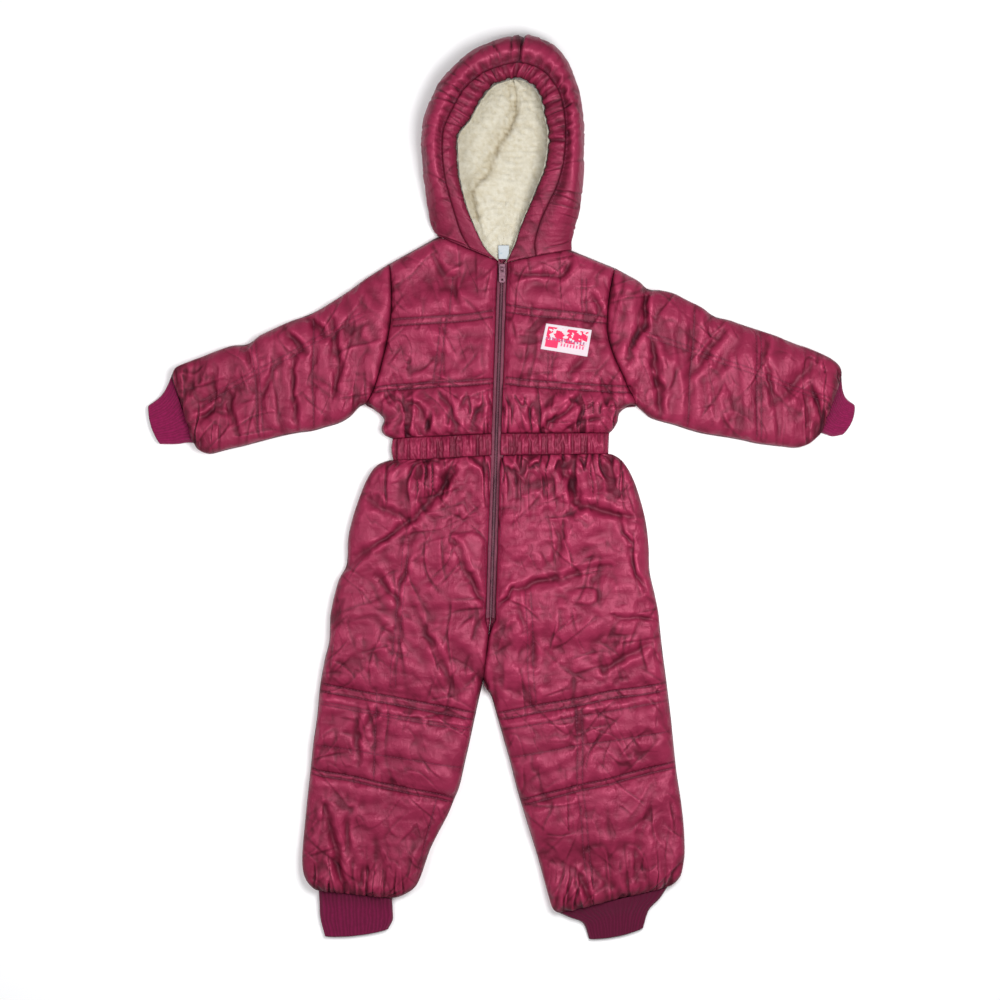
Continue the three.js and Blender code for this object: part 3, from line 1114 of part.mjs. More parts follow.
// Places round a label's point whose highest it clears.
const LABEL_REACH = [[0, 0], [3, 0], [-3, 0], [0, 3], [0, -3]];
const NECK_LABEL = [{ x: -3, y: 252 }, { x: 11, y: 252 }, { x: 11, y: 267 }, { x: -3, y: 267 }];

const garment = new THREE.Group();

function add(name, geometry, colour, roughness = 0.6, metalness = 0) {
  const mesh = new THREE.Mesh(geometry, new THREE.MeshStandardMaterial({ color: colour, roughness, metalness }));
  mesh.name = name;
  garment.add(mesh);
  return mesh;
}

const bodiceRight = frontPanel(bodicePlan(RIGHT_BODICE, RIGHT_NECK, -1), BODICE_INNER, BODICE_ROWS);
const bodiceLeft = frontPanel(bodicePlan(LEFT_BODICE, LEFT_NECK, 1), BODICE_INNER, BODICE_ROWS);
add("bodice_front_right", bodiceRight.geometry, COLOURS.shell);
add("bodice_front_left", bodiceLeft.geometry, COLOURS.shell);
add("bodice_back", backPanel(bodiceBackPlan(), [0, 2, 4, 7, 10, 12, 14], BODICE_ROWS), COLOURS.shell);
add("waistband_front_right", bandFront(-1), COLOURS.shell);
add("waistband_front_left", bandFront(1), COLOURS.shell);
add("waistband_back", bandBack(), COLOURS.shell);
for (const [name, table, side] of [["right", RIGHT_LEG, -1], ["left", LEFT_LEG, 1]]) {
  const front = frontPanel(legPlan(table, side, LEG_COLUMNS, false), LEG_INNER, spread(table.length, 3));
  add(`trouser_front_${name}`, front.geometry, COLOURS.shell);
  add(`trouser_back_${name}`, backPanel(legPlan(table, side, BACK_COLUMNS, true), BACK_INNER, spread(table.length, 3)), COLOURS.shell);
}
add("sleeve_right", sleeveTube(halved(RIGHT_SLEEVE), RIGHT_BODICE, -1), COLOURS.shell);
add("sleeve_left", sleeveTube(halved(LEFT_SLEEVE), LEFT_BODICE, 1), COLOURS.shell);
add("cuff_wrist_right", cuffTube(RIGHT_WRIST), COLOURS.rib, 0.9);
add("cuff_wrist_left", cuffTube(LEFT_WRIST), COLOURS.rib, 0.9);
add("cuff_ankle_right", cuffTube(RIGHT_ANKLE), COLOURS.rib, 0.9);
add("cuff_ankle_left", cuffTube(LEFT_ANKLE), COLOURS.rib, 0.9);
add("hood_right", hoodShell(-1), COLOURS.shell);
add("hood_left", hoodShell(1), COLOURS.shell);
add("hood_casing", hoodCasing(), COLOURS.shell);
add("hood_lining_right", hoodLining(-1), COLOURS.pile, 1);
add("hood_lining_left", hoodLining(1), COLOURS.pile, 1);
add("zip_tape_right", zipStrip(-ZIP_WIDTH / 2 + 0.3, -2.1, TAPE.base, TAPE.top, 0.2), COLOURS.tape);
add("zip_tape_left", zipStrip(2.1, ZIP_WIDTH / 2 - 0.3, TAPE.base, TAPE.top, 0.2), COLOURS.tape);
add("zip_coil", zipStrip(-COIL.width / 2, COIL.width / 2, COIL.base, COIL.top, 1), COLOURS.tape, 0.5);
add("zip_slider", sliderGeometry(), COLOURS.metal, 0.35, 0.8);
add("zip_pull", tabGeometry(), COLOURS.metal, 0.35, 0.8).position.copy(PIVOT);
const chestHeight = (p) => Math.max(...LABEL_REACH.map(([x, y]) => facetHeight(bodiceLeft.outer, { x: p.x + x, y: p.y + y })));
add("chest_label", labelGeometry(CHEST_LABEL, 8, 5, chestHeight, 0.8), COLOURS.label);
add("neck_label", labelGeometry(NECK_LABEL, 2, 2, () => BACK_INNER_Z, 0.8), COLOURS.label);

// The origin lies under the middle of the whole garment.
const box = new THREE.Box3().setFromObject(garment);
garment.position.set(-(box.min.x + box.max.x) / 2, -(box.min.y + box.max.y) / 2, -box.min.z);

export default garment;
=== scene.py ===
import math

import bpy
import numpy as np
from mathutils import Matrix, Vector
from mathutils.bvhtree import BVHTree


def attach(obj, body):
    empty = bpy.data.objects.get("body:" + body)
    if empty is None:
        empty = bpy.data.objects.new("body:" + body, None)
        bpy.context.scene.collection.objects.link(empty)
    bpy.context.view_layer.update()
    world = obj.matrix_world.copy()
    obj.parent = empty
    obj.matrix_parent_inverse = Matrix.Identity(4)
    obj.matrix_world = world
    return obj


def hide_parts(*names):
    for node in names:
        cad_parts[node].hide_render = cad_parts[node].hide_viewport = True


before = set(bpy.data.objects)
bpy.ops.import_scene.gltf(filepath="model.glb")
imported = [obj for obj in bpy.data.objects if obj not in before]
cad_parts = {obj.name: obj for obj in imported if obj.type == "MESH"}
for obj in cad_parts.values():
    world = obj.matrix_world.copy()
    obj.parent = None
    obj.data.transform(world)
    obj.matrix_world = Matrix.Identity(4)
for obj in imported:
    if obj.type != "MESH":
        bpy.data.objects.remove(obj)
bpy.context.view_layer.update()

# All sizes below are millimetres. +Y is the hood's end, and the wearer's right is at negative X.
MM = 0.001
# The tables count from the zip's foot of the neck, and this moves them to the garment's middle.
SHIFT = np.array([-1.0512, -0.9, 0.0])
GARMENT = "garment"

# Height of the side seams, half the gap at a seam, and heights of the padding's and the waistband's crest.
SEAM_Z = 8.3
GAP = 0.15
CREST_Z = 22.0
BAND_CREST_Z = 16.2
# Distance over which the front and the back turn to the side seams.
FRONT_ROUND = 17.0
BACK_ROUND = 12.0
# Padding beside a line: the least share of its height, the share it regains, and over what distance.
AT_WAIST = (0.62, 0.38, 15)
AT_ZIP = (0.42, 0.58, 11)
AT_CUFF = (0.34, 0.66, 17)
AT_BAND_ZIP = (0.62, 0.38, 6)
# Half of the strip that the fronts leave for the zip.
ZIP_HALF = 4.7
# Spacing of the cloth's points once it is settled, and of the points of the backs.
GRID = 2.3
BACK_STEP = 3.4
# Points of the waistband and of the bodice's back, and the width that the points of the bodice divide.
BAND_ROWS, BAND_COLUMNS = 13, 100
BODICE_BACK_ROWS, SHOULDER_POINTS, NAPE_POINTS = 70, 12, 24
BODICE_WIDTH = 120
# Length of the sleeve over which its rows follow the armhole.
ARMHOLE_REACH = 34
# Share of the fold table's heights that is there before the cloth is slackened.
FOLD_SHARE = 0.75
# Spare length of the slack cloth along its rows and columns, and depth of the sleeves' first ripples.
PANEL_SPARE = (0.018, 0.014)
SLEEVE_SPARE = (0.036, 0.008)
SLEEVE_RIPPLE = 1.5
# Rounds in which the cloth settles.
ROUNDS = 240
# Stiffness of the cloth to a short and to a longer bend.
SUPPLE, STIFF, FINE, LIGHT, ROLLED = (0.3, 0.1), (0.6, 0.45), (0.2, 0.05), (0.25, 0.0), (0.3, 0.2)
# Wadding in each round: how far it pushes the cloth out, and the shares by which it draws back, first above
# and then below.
BROAD_WADDING, FINE_WADDING = (0.05, 0.022, 0.006), (0.02, 0.025, 0.006)
BAND_WADDING, HOOD_WADDING = (0.01, 0.03, 0.03), (0.03, 0.03, 0.01)
# Painted shade of even cloth, and the reach and strength at which narrow and broad dips add painted shade to
# it and crests a painted highlight.
EVEN_CLOTH = 0.3
NARROW_REACH, NARROW_SHARE = 2, 0.24
BROAD_REACH, BROAD_SHARE = 7, 0.022
# Painted shade that a stitched groove, a fine crease and a panel's rim add, and that on an edge turned down.
GROOVE_SHADE, CREASE_SHADE, RIM_SHADE, EDGE_SHADE = 0.24, 0.32, 0.3, 0.5
# Seeds of the noise, one for each kind of panel.
LEG_SEED, BODICE_SEED, SLEEVE_SEED, BACK_SEED, SLEEVE_BACK_SEED = 40, 60, 80, 31, 33

# Centre front, from the crotch up to the neck, by way of the zip's foot and the waistband: x, y.
CENTRE = [(-19, -211), (-11, -144), (-5.1, 36), (-4.5, 60), (2, 247.6)]
CROTCH, ZIP_FOOT, BAND_FOOT, BAND_TOP, NECK_FRONT = CENTRE
# Waistband: its lower and upper edge, and its outer end on the wearer's right and left.
BAND_LOW = [(-118, 29.7), BAND_FOOT, (119, 37.8)]
BAND_HIGH = [(-119, 54.5), BAND_TOP, (120, 60.5)]
BAND_ENDS = {-1: [BAND_LOW[0], (-120.5, 42), BAND_HIGH[0]], 1: [BAND_LOW[2], (119, 50), BAND_HIGH[2]]}

# Trousers, from the waist to the ankle: outer x, outer y, inner x (none on the centre front), inner y.
RIGHT_LEG = [
    (-118, 29.7, None, 36), (-133, 26, None, 26), (-140, 20, None, 17), (-148, 7, None, 6),
    (-156, -12, None, -14), (-163, -33, None, -36), (-168, -56, None, -58), (-169.5, -84, None, -84),
    (-178, -101, None, -105), (-184, -122, None, -127), (-187.5, -140, None, -143.8),
    (-188, -152, None, -160), (-189, -170, None, -180), (-193, -186, None, -211), (-197, -206, -25, -238),
    (-199.5, -222, -29.5, -259), (-202, -250, -34, -280), (-206, -278, -39, -302),
    (-208.5, -300, -45, -328), (-210, -315, -51, -343), (-213, -342, -58, -360), (-215.5, -368, -68, -379),
    (-218, -395, -77, -397), (-218.5, -413, -83, -414), (-216, -427, -88.5, -429), (-209, -437, -97, -441),
    (-201, -443, -120, -452),
]
LEFT_LEG = [
    (119, 37.8, None, 36), (131, 32, None, 26), (138, 24, None, 15), (144, 14, None, 4),
    (150, 0, None, -14), (156.5, -21, None, -37), (161, -42, None, -58), (163.5, -66, None, -82),
    (164.5, -92, None, -105), (170, -117, None, -127), (174, -137, None, -143.8), (176, -156, None, -170),
    (179, -183, None, -211), (182, -205, -10, -230), (184.5, -225, -3, -254), (188, -254, 5, -282),
    (189.5, -269, 11, -303), (192, -294, 18, -331), (194.5, -316, 26, -358), (199, -345, 35, -387),
    (202, -372, 42, -410), (203, -396, 48, -432), (201.5, -411, 53, -450), (197, -428, 57.5, -463),
    (185, -439.5, 64, -468),
]
# Bodice, from the waist to the shoulder: side x, side y, y at the zip, share of the neck's rise.
RIGHT_BODICE = [
    (-119, 54.5, 60, 0), (-128, 58.5, 65, 0), (-131.3, 66, 73, 0), (-128.3, 76, 83, 0), (-139, 86, 94, 0),
    (-149, 92.5, 103, 0), (-143.5, 100, 110, 0), (-138, 112, 122, 0), (-133, 127, 137, 0),
    (-128, 146, 155, 0), (-123.5, 166, 174, 0), (-120.6, 183.5, 192, 0.02), (-119.5, 204, 211, 0.2),
    (-120, 226, 229, 0.55), (-122, 247.5, 249, 1),
]
LEFT_BODICE = [
    (120, 60.5, 60, 0), (124, 64.5, 66, 0), (129, 73, 74, 0), (131, 82, 84, 0), (139, 88.8, 93, 0),
    (149.5, 90.5, 102, 0), (146.5, 99, 109, 0), (139.5, 112, 121, 0), (132, 128, 137, 0),
    (124, 146, 155, 0), (118.5, 165, 174, 0), (117, 182, 192, 0.02), (118.5, 205, 212, 0.2),
    (122, 225, 230, 0.55), (126, 242.5, 247.6, 1),
]
UNDERARM = 5
# Neck point of each bodice half: share of the way from the armhole to the zip, and rise.
RIGHT_NECK = (0.44, 28.5)
LEFT_NECK = (0.402, 17.4)
# Sleeves, from the armhole to the wrist: lower x, lower y, upper x, upper y.
RIGHT_SLEEVE = [
    (-149.4, 92.5, -122.4, 247.5), (-156, 89, -139, 237), (-166, 78.5, -149, 230.5),
    (-178, 71.5, -166, 218), (-193, 67, -183, 207), (-207, 63, -200, 196.5), (-222, 61, -214, 190),
    (-238, 58, -231, 184), (-254, 54, -248, 176.5), (-269, 50, -264, 168.5), (-284, 46, -279, 158.5),
    (-298, 43, -295, 157), (-311, 39.5, -312, 151.5), (-321, 37.5, -328, 145), (-330, 41, -345, 138),
    (-336, 47, -357, 132.5), (-337.5, 50, -363, 124),
]
LEFT_SLEEVE = [
    (149.9, 90.5, 126.4, 242.5), (156, 85, 139, 235.5), (165, 77.5, 152, 228), (178, 73, 163, 219),
    (193, 69, 176, 218), (208, 64, 191, 214.5), (223, 60, 206, 207), (238, 57.5, 221, 199.5),
    (252, 55.3, 236, 189), (267, 52.5, 252, 185), (281, 49.3, 268, 179.5), (296, 47.2, 285, 174),
    (311, 45.6, 303, 168), (325, 44.3, 321, 160.5), (337, 47.5, 340, 153.5), (346, 54.5, 359, 144.5),
    (351, 60, 372, 134.5), (353, 61.5, 376, 122),
]
# Cuffs: the hem's bulge, the painted shade that the hem casts on the knit, then the two ends of each section,
# the hem last.
CUFFS = {
    "cuff_wrist_right": (3.5, 0.05, [
        (-337.9, 49.9, -363.4, 123.9), (-347, 50, -369, 111), (-358, 48.5, -376, 101), (-376, 48.5, -389, 91),
    ]),
    "cuff_wrist_left": (4, 0.05, [
        (353.4, 61.3, 376.4, 121.8), (360, 59, 378, 108), (367, 57, 382, 99), (378, 59, 391, 92),
    ]),
    "cuff_ankle_right": (3, 0.5, [
        (-200.9, -443.5, -119.9, -452.5), (-200, -459, -119, -466), (-199, -475, -119, -477),
        (-194, -495, -124, -487),
    ]),
    "cuff_ankle_left": (3, 0.85, [
        (184.8, -440, 63.8, -468.5), (176, -453, 76, -474), (164, -466, 91, -480.5), (157.5, -486, 98, -498),
    ]),
}
# Cuffs: ribs on each face, points to a rib, heights of the padded end and of the side folds, thickness of the
# knit, rows of the hem turned in, their share of the cuff's width, and length of the knit along the cuff.
RIBS, RIB_POINTS = 19, 8
CUFF_TOP_Z, CUFF_SIDE_Z = 12.4, 4.2
KNIT = 1.9
HEM_ROWS, HEM_SHARE = 8, 0.955
KNIT_LENGTH = 44
# Hood sections round the face, from right of the neck to left of it: x, y of the opening, of the casing seam
# and of the outer edge.
HOOD = [
    (-3, 249.7, -33, 262, -69.4, 277.3), (-16, 262, -43, 279, -76, 291), (-28, 284, -50, 300, -79.5, 309),
    (-38, 309, -56, 320, -82.5, 332), (-45, 335, -61, 342, -85.5, 355), (-48, 361, -63.5, 366, -87.3, 378),
    (-47, 386, -62.5, 392, -86, 399), (-34, 404, -53, 415, -79, 424), (-23, 424, -40, 437, -66, 449),
    (-10, 440, -22, 453, -42, 475), (3, 446, -3, 461.5, -14, 491.5), (15, 448.8, 18, 466, 20, 499.8),
    (26, 446.5, 35, 463, 46, 495.5), (37, 438.5, 51, 453, 66, 482), (44.5, 425, 63, 436, 79, 458),
    (47.5, 407, 69, 416, 88, 430), (50.5, 390, 71, 394, 91.5, 404), (49.5, 370, 70.5, 371, 92, 377),
    (45, 347, 67, 350, 91.3, 350), (38, 329, 61, 330, 89.5, 325), (31, 310, 52, 311, 86.5, 305),
    (23, 290, 43, 290, 82, 288), (15.5, 267, 38, 270, 78.5, 273), (7, 248.4, 39, 254.8, 78, 262.5),
]
HOOD_END = len(HOOD) - 1
CROWN = 11
NAPE = np.array([2.0, 269.0])
CROWN_BACK = np.array([17.0, 452.0])
# Rolled section of the hood: stretch (0 casing, 1 shell, 2 floor), share along it, inset, height at the neck,
# full height.
HOOD_PROFILE = [
    (0, 0, 0, 18.6, 35), (0, 0.28, 0, 19.2, 40.5), (0, 0.62, 0, 19.4, 43), (0, 1, 0, 19, 43.5),
    (1, 0.16, 0, 19, 46), (1, 0.42, 0, 18.6, 51), (1, 0.72, 0, 16.5, 47), (1, 0.92, 0, 12.8, 37),
    (2, 0, 0, 8.3, 24), (2, 0, 3.5, 3, 9), (2, 0, 13, 0, 0), (2, 0.45, 8, 0, 0), (2, 1, 0, 0, 0),
]
# Share by which the scene draws each hood section in: opening, casing seam, outer edge.
HOOD_DRAWN_IN = np.array([0.003, 0.003, 0.008, 0.008, 0.010, 0.010])
# Rows of the rolled section at which the casing ends, the roll is widest and the hood meets the floor.
CASING_ROW, ROLL_ROW, FLOOR_ROW, BACK_ROW = 3, 6, 9, 12
# How far the hood's raw edges turn down at the casing's seam, and the painted shade on them.
HOOD_LIP, LIP_SHADE = 2.2, 0.9
# Fold of the hood's lining, from the crown down: x, y.
LINING_FOLD = [
    (16, 441), (18, 422), (16, 408), (8, 390), (-1, 378), (-6, 364), (-13.6, 346), (-17.5, 341), (-25, 335),
    (-30, 327), (-28, 311), (-25, 299),
]
# Lining rows, from the casing to the back seam: distance out from the opening, the opening's share of the way
# to the back seam, height at the neck, and what the hood's rise adds to it.
LINING_ROWS = [
    (-2.0, 1, 15.0, 18.5), (3.0, 1, 10.8, 14.4), (9.0, 1, 10.0, 7.5), (3.0, 1, 9.0, 2.5), (0, 0.88, 8.6, 0.8),
    (0, 0.45, 8.4, 0), (0, 0, 8.3, 0),
]
LINING_STEP, LINING_COLUMNS = 1.9, 58
# Labels: corners from top left round to bottom left, and the height of the one inside the neck.
CHEST_LABEL = ((50, 180.4), (100.2, 173.4), (95.2, 144.1), (43.9, 152.3))
NECK_LABEL = ((-2.5, 267), (9.5, 267), (9, 252), (-2, 252))
NECK_LABEL_Z = 14.2
# Stitches: spacing, length and radius of the thread, how far it stands up, and the steepest one.
STITCH_PITCH, STITCH, THREAD_RADIUS, THREAD_LIFT, STITCH_CLIMB = 3.6, 2.4, 0.24, 0.1, 3
# Stitched rows beside the zip: distance from its strip, and the two stretches from low to high.
ZIP_ROW = 3.2
ZIP_STRETCHES = ((-140, 30), (66, 244))
# Stitched row round the hood: its row of the rolled section, and the sections where it ends.
HOOD_ROW, HOOD_ROW_ENDS = 3.55, (0.4, 22.6)
# Bars for stitches and loops: rings by their share of the length and of the radius, and points round each.
BAR_RINGS, BAR_SIDES = [(-0.35, 0.55), (0.25, 1.0), (0.75, 1.0), (1.35, 0.55)], 6
# Zip tapes: ends, inner edge, width under the fronts, height, and how far the edges turn down.
TAPE_LOW, TAPE_HIGH, TAPE_INNER, TAPE_UNDER, TAPE_Z, TAPE_EDGE = -143, 249, 1.9, 7.4, 12.9, 1.4
# Zip coil: ends, spacing and radius of its loops.
COIL_LOW, COIL_HIGH, COIL_PITCH, COIL_RADIUS = -142, 247, 0.9, 0.42

# Main folds on the front: x, y of both ends, half-width, height.
FOLDS = [
    (-52, 20, -92, -32, 7, -6), (-92, -32, -168, -86, 6, -5), (-150, -12, -98, -38, 7, -4),
    (-140, 8, -75, 6, 15, 3.5), (-135, -95, -114, -121, 6, -4), (-98, -50, -116, -150, 5, -3),
    (-52, -60, -18, -130, 6, -5), (-93, -131, -48, -232, 6, -3), (-140, -95, -60, -60, 20, 3),
    (-150, -222, -45, -228, 12, -2), (-156, -247, -154, -300, 5, -4), (-131, -231, -145, -261, 5, -3),
    (-192, -350, -170, -440, 7, -7), (-165, -353, -169, -404, 5, -3), (-130, -430, -150, -395, 14, 3),
    (76, 12, 84, -22, 7, -6), (84, -20, 138, -34, 7, -6), (96, -8, 140, -14, 10, 4),
    (130, -30, 142, -68, 4, -4), (142, -68, 154, -112, 4, -4), (0, -130, 14, -111, 5, -5),
    (14, -111, 62, -100, 5, -5), (62, -100, 118, -88, 5, -3), (68, -42, 60, -96, 7, -4),
    (60, -140, 150, -130, 22, 3), (126, -139, 168, -146, 5, -3), (160, -171, 112, -200, 5, -4),
    (22, -120, 24, -156, 5, -3), (35, -160, 36, -193, 5, -3), (168, -335, 145, -420, 9, -4),
    (88, -426, 98, -455, 6, -4), (-184, 182, -178, 148, 6, -6), (-178, 148, -183, 104, 6, -6),
    (-212, 188, -188, 166, 6, -5), (-233, 173, -215, 148, 5, -5), (-225, 145, -226, 98, 5, -4),
    (-226, 98, -221, 68, 5, -4), (-281, 157, -272, 134, 6, -4), (-259, 100, -249, 126, 5, -3),
    (-297, 100, -286, 62, 5, -4), (-315, 132, -312, 94, 5, -3), (-334, 76, -307, 89, 5, -4),
    (160, 220, 157, 178, 6, -7), (157, 178, 140, 142, 6, -6), (167, 158, 169, 118, 6, -6),
    (169, 118, 178, 84, 6, -6), (138, 215, 146, 180, 10, 3), (245, 167, 205, 122, 7, -4),
    (293, 160, 288, 138, 5, -4), (288, 138, 298, 98, 5, -3), (340, 130, 300, 95, 9, -3),
    (-66, 104, -48, 70, 5, -4), (-98, 94, -72, 64, 5, -4), (44, 64, 92, 106, 5, -4),
    (64, 64, 120, 82, 5, -3), (96, 144, 72, 120, 6, -3), (-74, 262, -52, 214, 6, -4),
    (-46, 234, -50, 200, 5, -3), (76, 250, 66, 232, 5, -5), (66, 232, 20, 236, 5, -3),
    (98, 212, 112, 190, 5, -4),
]
# Quilting: x, y of both ends of the line, the space between its two rows of stitches, which is 0 for a single
# row, and how strongly it draws the cloth in.
QUILTING = [
    (-8, 190, -119, 181, 7, 0.8), (5, 197, 117, 185, 8, 0.8), (-8, 118.5, -140, 107, 5, 0.9),
    (5, 117, 143, 108, 7, 0.9), (-52, 232, -55, 185, 0, 0.4), (-62, 186, -71, 113, 6, 0.4),
    (91, 230, 93, 192, 5, 0.4), (54, 148, 54, 118, 5, 0.3), (-200, -218, -28, -252, 8, 1),
    (-201, -234, -30, -266, 3, 0.4), (-206, -282, -40, -307, 0, 0.25), (-208, -310, -50, -343, 5, 1),
    (183, -217, -2, -251, 8, 1), (186, -232, 3, -266, 0, 0.35), (189, -267, 10, -295, 0, 0.35),
    (193, -304, 22, -346, 6, 1), (-70, -338, -92, -424, 0, 0.35), (-104, -60, -118, -220, 6, 0.2),
    (-136, -222, -140, -322, 0, 0.4), (86, -240, 88, -330, 6, 0.45), (88, -336, 99, -440, 6, 0.35),
    (30, -112, 36, -240, 6, 0.25), (-205, 186, -206, 66, 0, 0.4), (-270, 160, -262, 55, 5, 0.3),
    (-150, 190, -330, 92, 5, 0.2), (155, 170, 360, 96, 5, 0.25), (214, 200, 205, 66, 0, 0.4),
    (282, 172, 284, 52, 5, 0.4),
]
# Fine creases: spacing, stretch along x and y, turn in radians, and how strong they are.
CREASES = [
    (19, 1.0, 0.26, 0.08, 0.6), (17, 1.0, 0.24, -0.22, 0.5), (17, 0.28, 1.0, 0.2, 0.45),
    (15, 1.0, 0.28, 0.85, 0.4), (16, 1.0, 0.28, -0.75, 0.45), (9, 1.0, 0.3, 0.35, 0.3),
]
# Creases that run out of the gathers: spacing and stretch.
GATHERS = [(8, 0.13), (13, 0.2)]


def lattice(ix, iy, seed):
    """Fixed random value from -1 to 1 at each whole-number place."""
    h = (ix * 374761393 + iy * 668265263 + seed * 974634777) & 0xFFFFFFFF
    h = ((h ^ (h >> 13)) * 1274126177) & 0xFFFFFFFF
    return ((h ^ (h >> 16)) & 0xFFFF) / 32767.5 - 1.0


def noise(x, y, size, seed):
    """Smooth noise from about -1 to 1 whose bumps are about size apart."""
    x, y = x / size, y / size
    ix, iy = np.floor(x).astype(np.int64), np.floor(y).astype(np.int64)
    fx, fy = x - ix, y - iy
    fx = fx * fx * fx * (fx * (fx * 6 - 15) + 10)
    fy = fy * fy * fy * (fy * (fy * 6 - 15) + 10)
    low = lattice(ix, iy, seed) * (1 - fx) + lattice(ix + 1, iy, seed) * fx
    high = lattice(ix, iy + 1, seed) * (1 - fx) + lattice(ix + 1, iy + 1, seed) * fx
    return low * (1 - fy) + high * fy


def layered(x, y, size, seed, layers=3):
    total, weight = 0.0, 1.0
    for k in range(layers):
        total = total + weight * noise(x, y, size / 2**k, seed + 17 * k)
        weight *= 0.55
    return total


def bell(d, width):
    """1 at no distance, falling smoothly to nearly 0 at twice the width."""
    return np.exp(-((d / width) ** 2))


def eased(s):
    return s * s * (3 - 2 * s)


def spline(values, at):
    """Catmull-Rom curve through values at whole-number places, read at the places given."""
    values = np.asarray(values, float)
    at = np.clip(at, 0, len(values) - 1)
    i = np.minimum(at.astype(int), len(values) - 2)
    t = (at - i)[:, None]
    flat = values.reshape(len(values), -1)
    first, last = 2 * flat[0] - flat[1], 2 * flat[-1] - flat[-2]
    p = np.vstack([first, flat, last])
    a, b, c, d = p[i], p[i + 1], p[i + 2], p[i + 3]
    out = b + 0.5 * t * (c - a + t * (2 * a - 5 * b + 4 * c - d + t * (3 * (b - c) + d - a)))
    return out.reshape((len(at),) + values.shape[1:])


def even_places(points, step):
    """Places along a list of points that are step apart."""
    steps = np.linalg.norm(np.diff(points, axis=0), axis=1)
    along = np.concatenate([[0], np.cumsum(steps)])
    count = max(4, int(round(along[-1] / step)))
    return np.interp(np.linspace(0, along[-1], count + 1), along, np.arange(len(points)))


def centre_x(y):
    """The centre front: the zip, then the crotch seam."""
    return np.interp(y, [p[1] for p in CENTRE], [p[0] for p in CENTRE])


def front_edge(side, y):
    return centre_x(y) + side * np.where(y >= ZIP_FOOT[1], ZIP_HALF, GAP)


def leg_sections(table, side, back=False):
    rows = []
    for ox, oy, ix, iy in table:
        if ix is None:
            ix = centre_x(iy) + side * GAP if back else float(front_edge(side, np.array(iy)))
        rows.append((ox, oy, ix, iy))
    return np.array(rows, float)


def distance(p, lines):
    """Distance from each point to the nearest of some lines."""
    best = np.full(len(p), 1e9)
    for line in lines:
        line = np.asarray(line, float)
        for a, b in zip(line[:-1], line[1:]):
            best = np.minimum(best, to_segment(p, a, b)[0])
    return best


def to_segment(p, a, b):
    """Distance from points to a segment, the share along it, and the side they are on."""
    d = b - a
    s = np.clip(((p - a) @ d) / max(d @ d, 1e-9), 0, 1)
    off = p - a - s[:, None] * d
    turn = d[0] * (p[:, 1] - a[1]) - d[1] * (p[:, 0] - a[0])
    return np.hypot(off[:, 0], off[:, 1]), s, np.sign(turn)


def rounded(d, radius):
    s = 1 - np.clip(d / radius, 0, 1)
    return np.sqrt(np.maximum(0, 1 - s * s))


def dense(points, step=6.0):
    points = np.asarray(points, float)
    return spline(points, even_places(points, step))


def bodice_point(table, neck, side, across, index):
    """A point of a bodice section from the side (0) to the zip (1), at a place in the table."""
    row = spline(np.array(table), np.array([float(index)]))[0]
    zip_x = float(front_edge(side, np.array(row[2])))
    x = row[0] + (zip_x - row[0]) * across
    y = row[1] + (row[2] - row[1]) * across
    tent = np.where(across < neck[0], across / neck[0], (1 - across) / (1 - neck[0]))
    return np.stack([x, y + neck[1] * row[3] * tent], -1)


def armhole(table):
    return np.array([(r[0], r[1]) for r in table[UNDERARM:]], float)


def edges_of(table, key):
    t = np.array([[v if v is not None else np.nan for v in r] for r in table], float)
    pts = t[:, key:key + 2]
    return pts[~np.isnan(pts).any(1)]


def side_lines():
    """Every edge at which the front turns under to the back."""
    lines = []
    for table in (RIGHT_LEG, LEFT_LEG):
        lines.append(dense(edges_of(table, 0)))
        lines.append(dense(np.vstack([CROTCH, edges_of(table, 2)])))
    for table in (RIGHT_SLEEVE, LEFT_SLEEVE):
        lines.append(dense(edges_of(table, 0)))
        lines.append(dense(edges_of(table, 2)))
    for table, neck, side in ((RIGHT_BODICE, RIGHT_NECK, -1), (LEFT_BODICE, LEFT_NECK, 1)):
        lines.append(dense([(r[0], r[1]) for r in table[: UNDERARM + 1]]))
        lines.append(bodice_point(table, neck, side, np.linspace(0, neck[0], 5), len(table) - 1))
    return lines + list(BAND_ENDS.values())


SIDE_LINES = side_lines()
CUFF_LINES = [[table[-1][:2], table[-1][2:]] for table in (RIGHT_SLEEVE, LEFT_SLEEVE, RIGHT_LEG, LEFT_LEG)]
WAIST_LINES = [BAND_HIGH, BAND_LOW]
ZIP_LINE = [(2.4, 262), NECK_FRONT, BAND_TOP, BAND_FOOT, ZIP_FOOT]
SEAM_LINES = [armhole(RIGHT_BODICE), armhole(LEFT_BODICE), [ZIP_FOOT, CROTCH]]


def folds_at(p):
    """Soft wandering troughs and ridges of the table, each with a low ridge along one side."""
    total = np.zeros(len(p))
    for x0, y0, x1, y1, width, height in FOLDS:
        broad = noise(p[:, 0], p[:, 1], 22, int(abs(x0 * 7 + y1)))
        tight = noise(p[:, 0], p[:, 1], 8, int(abs(x0 * 3 + y1)))
        d, s, turn = to_segment(p, np.array([x0, y0], float), np.array([x1, y1], float))
        signed = d * turn + 4.0 * broad + 1.3 * tight
        wide = width * (0.75 if height < 0 else 1)
        fade = np.clip(1.25 - 1.5 * np.abs(s - 0.5), 0, 1) * (d < 60)
        fade *= bell(np.maximum(d - np.abs(signed), 0), 6)
        total += FOLD_SHARE * height * fade * bell(signed, wide)
        total -= 0.4 * FOLD_SHARE * height * fade * bell(signed - 1.6 * wide, wide)
    return total


def quilting_wander(p, x0, y0):
    """How far the rows of a quilting line that starts at x0, y0 stray to its side."""
    return 1.3 * noise(p[:, 0], p[:, 1], 40, int(abs(x0 + 3 * y0)))


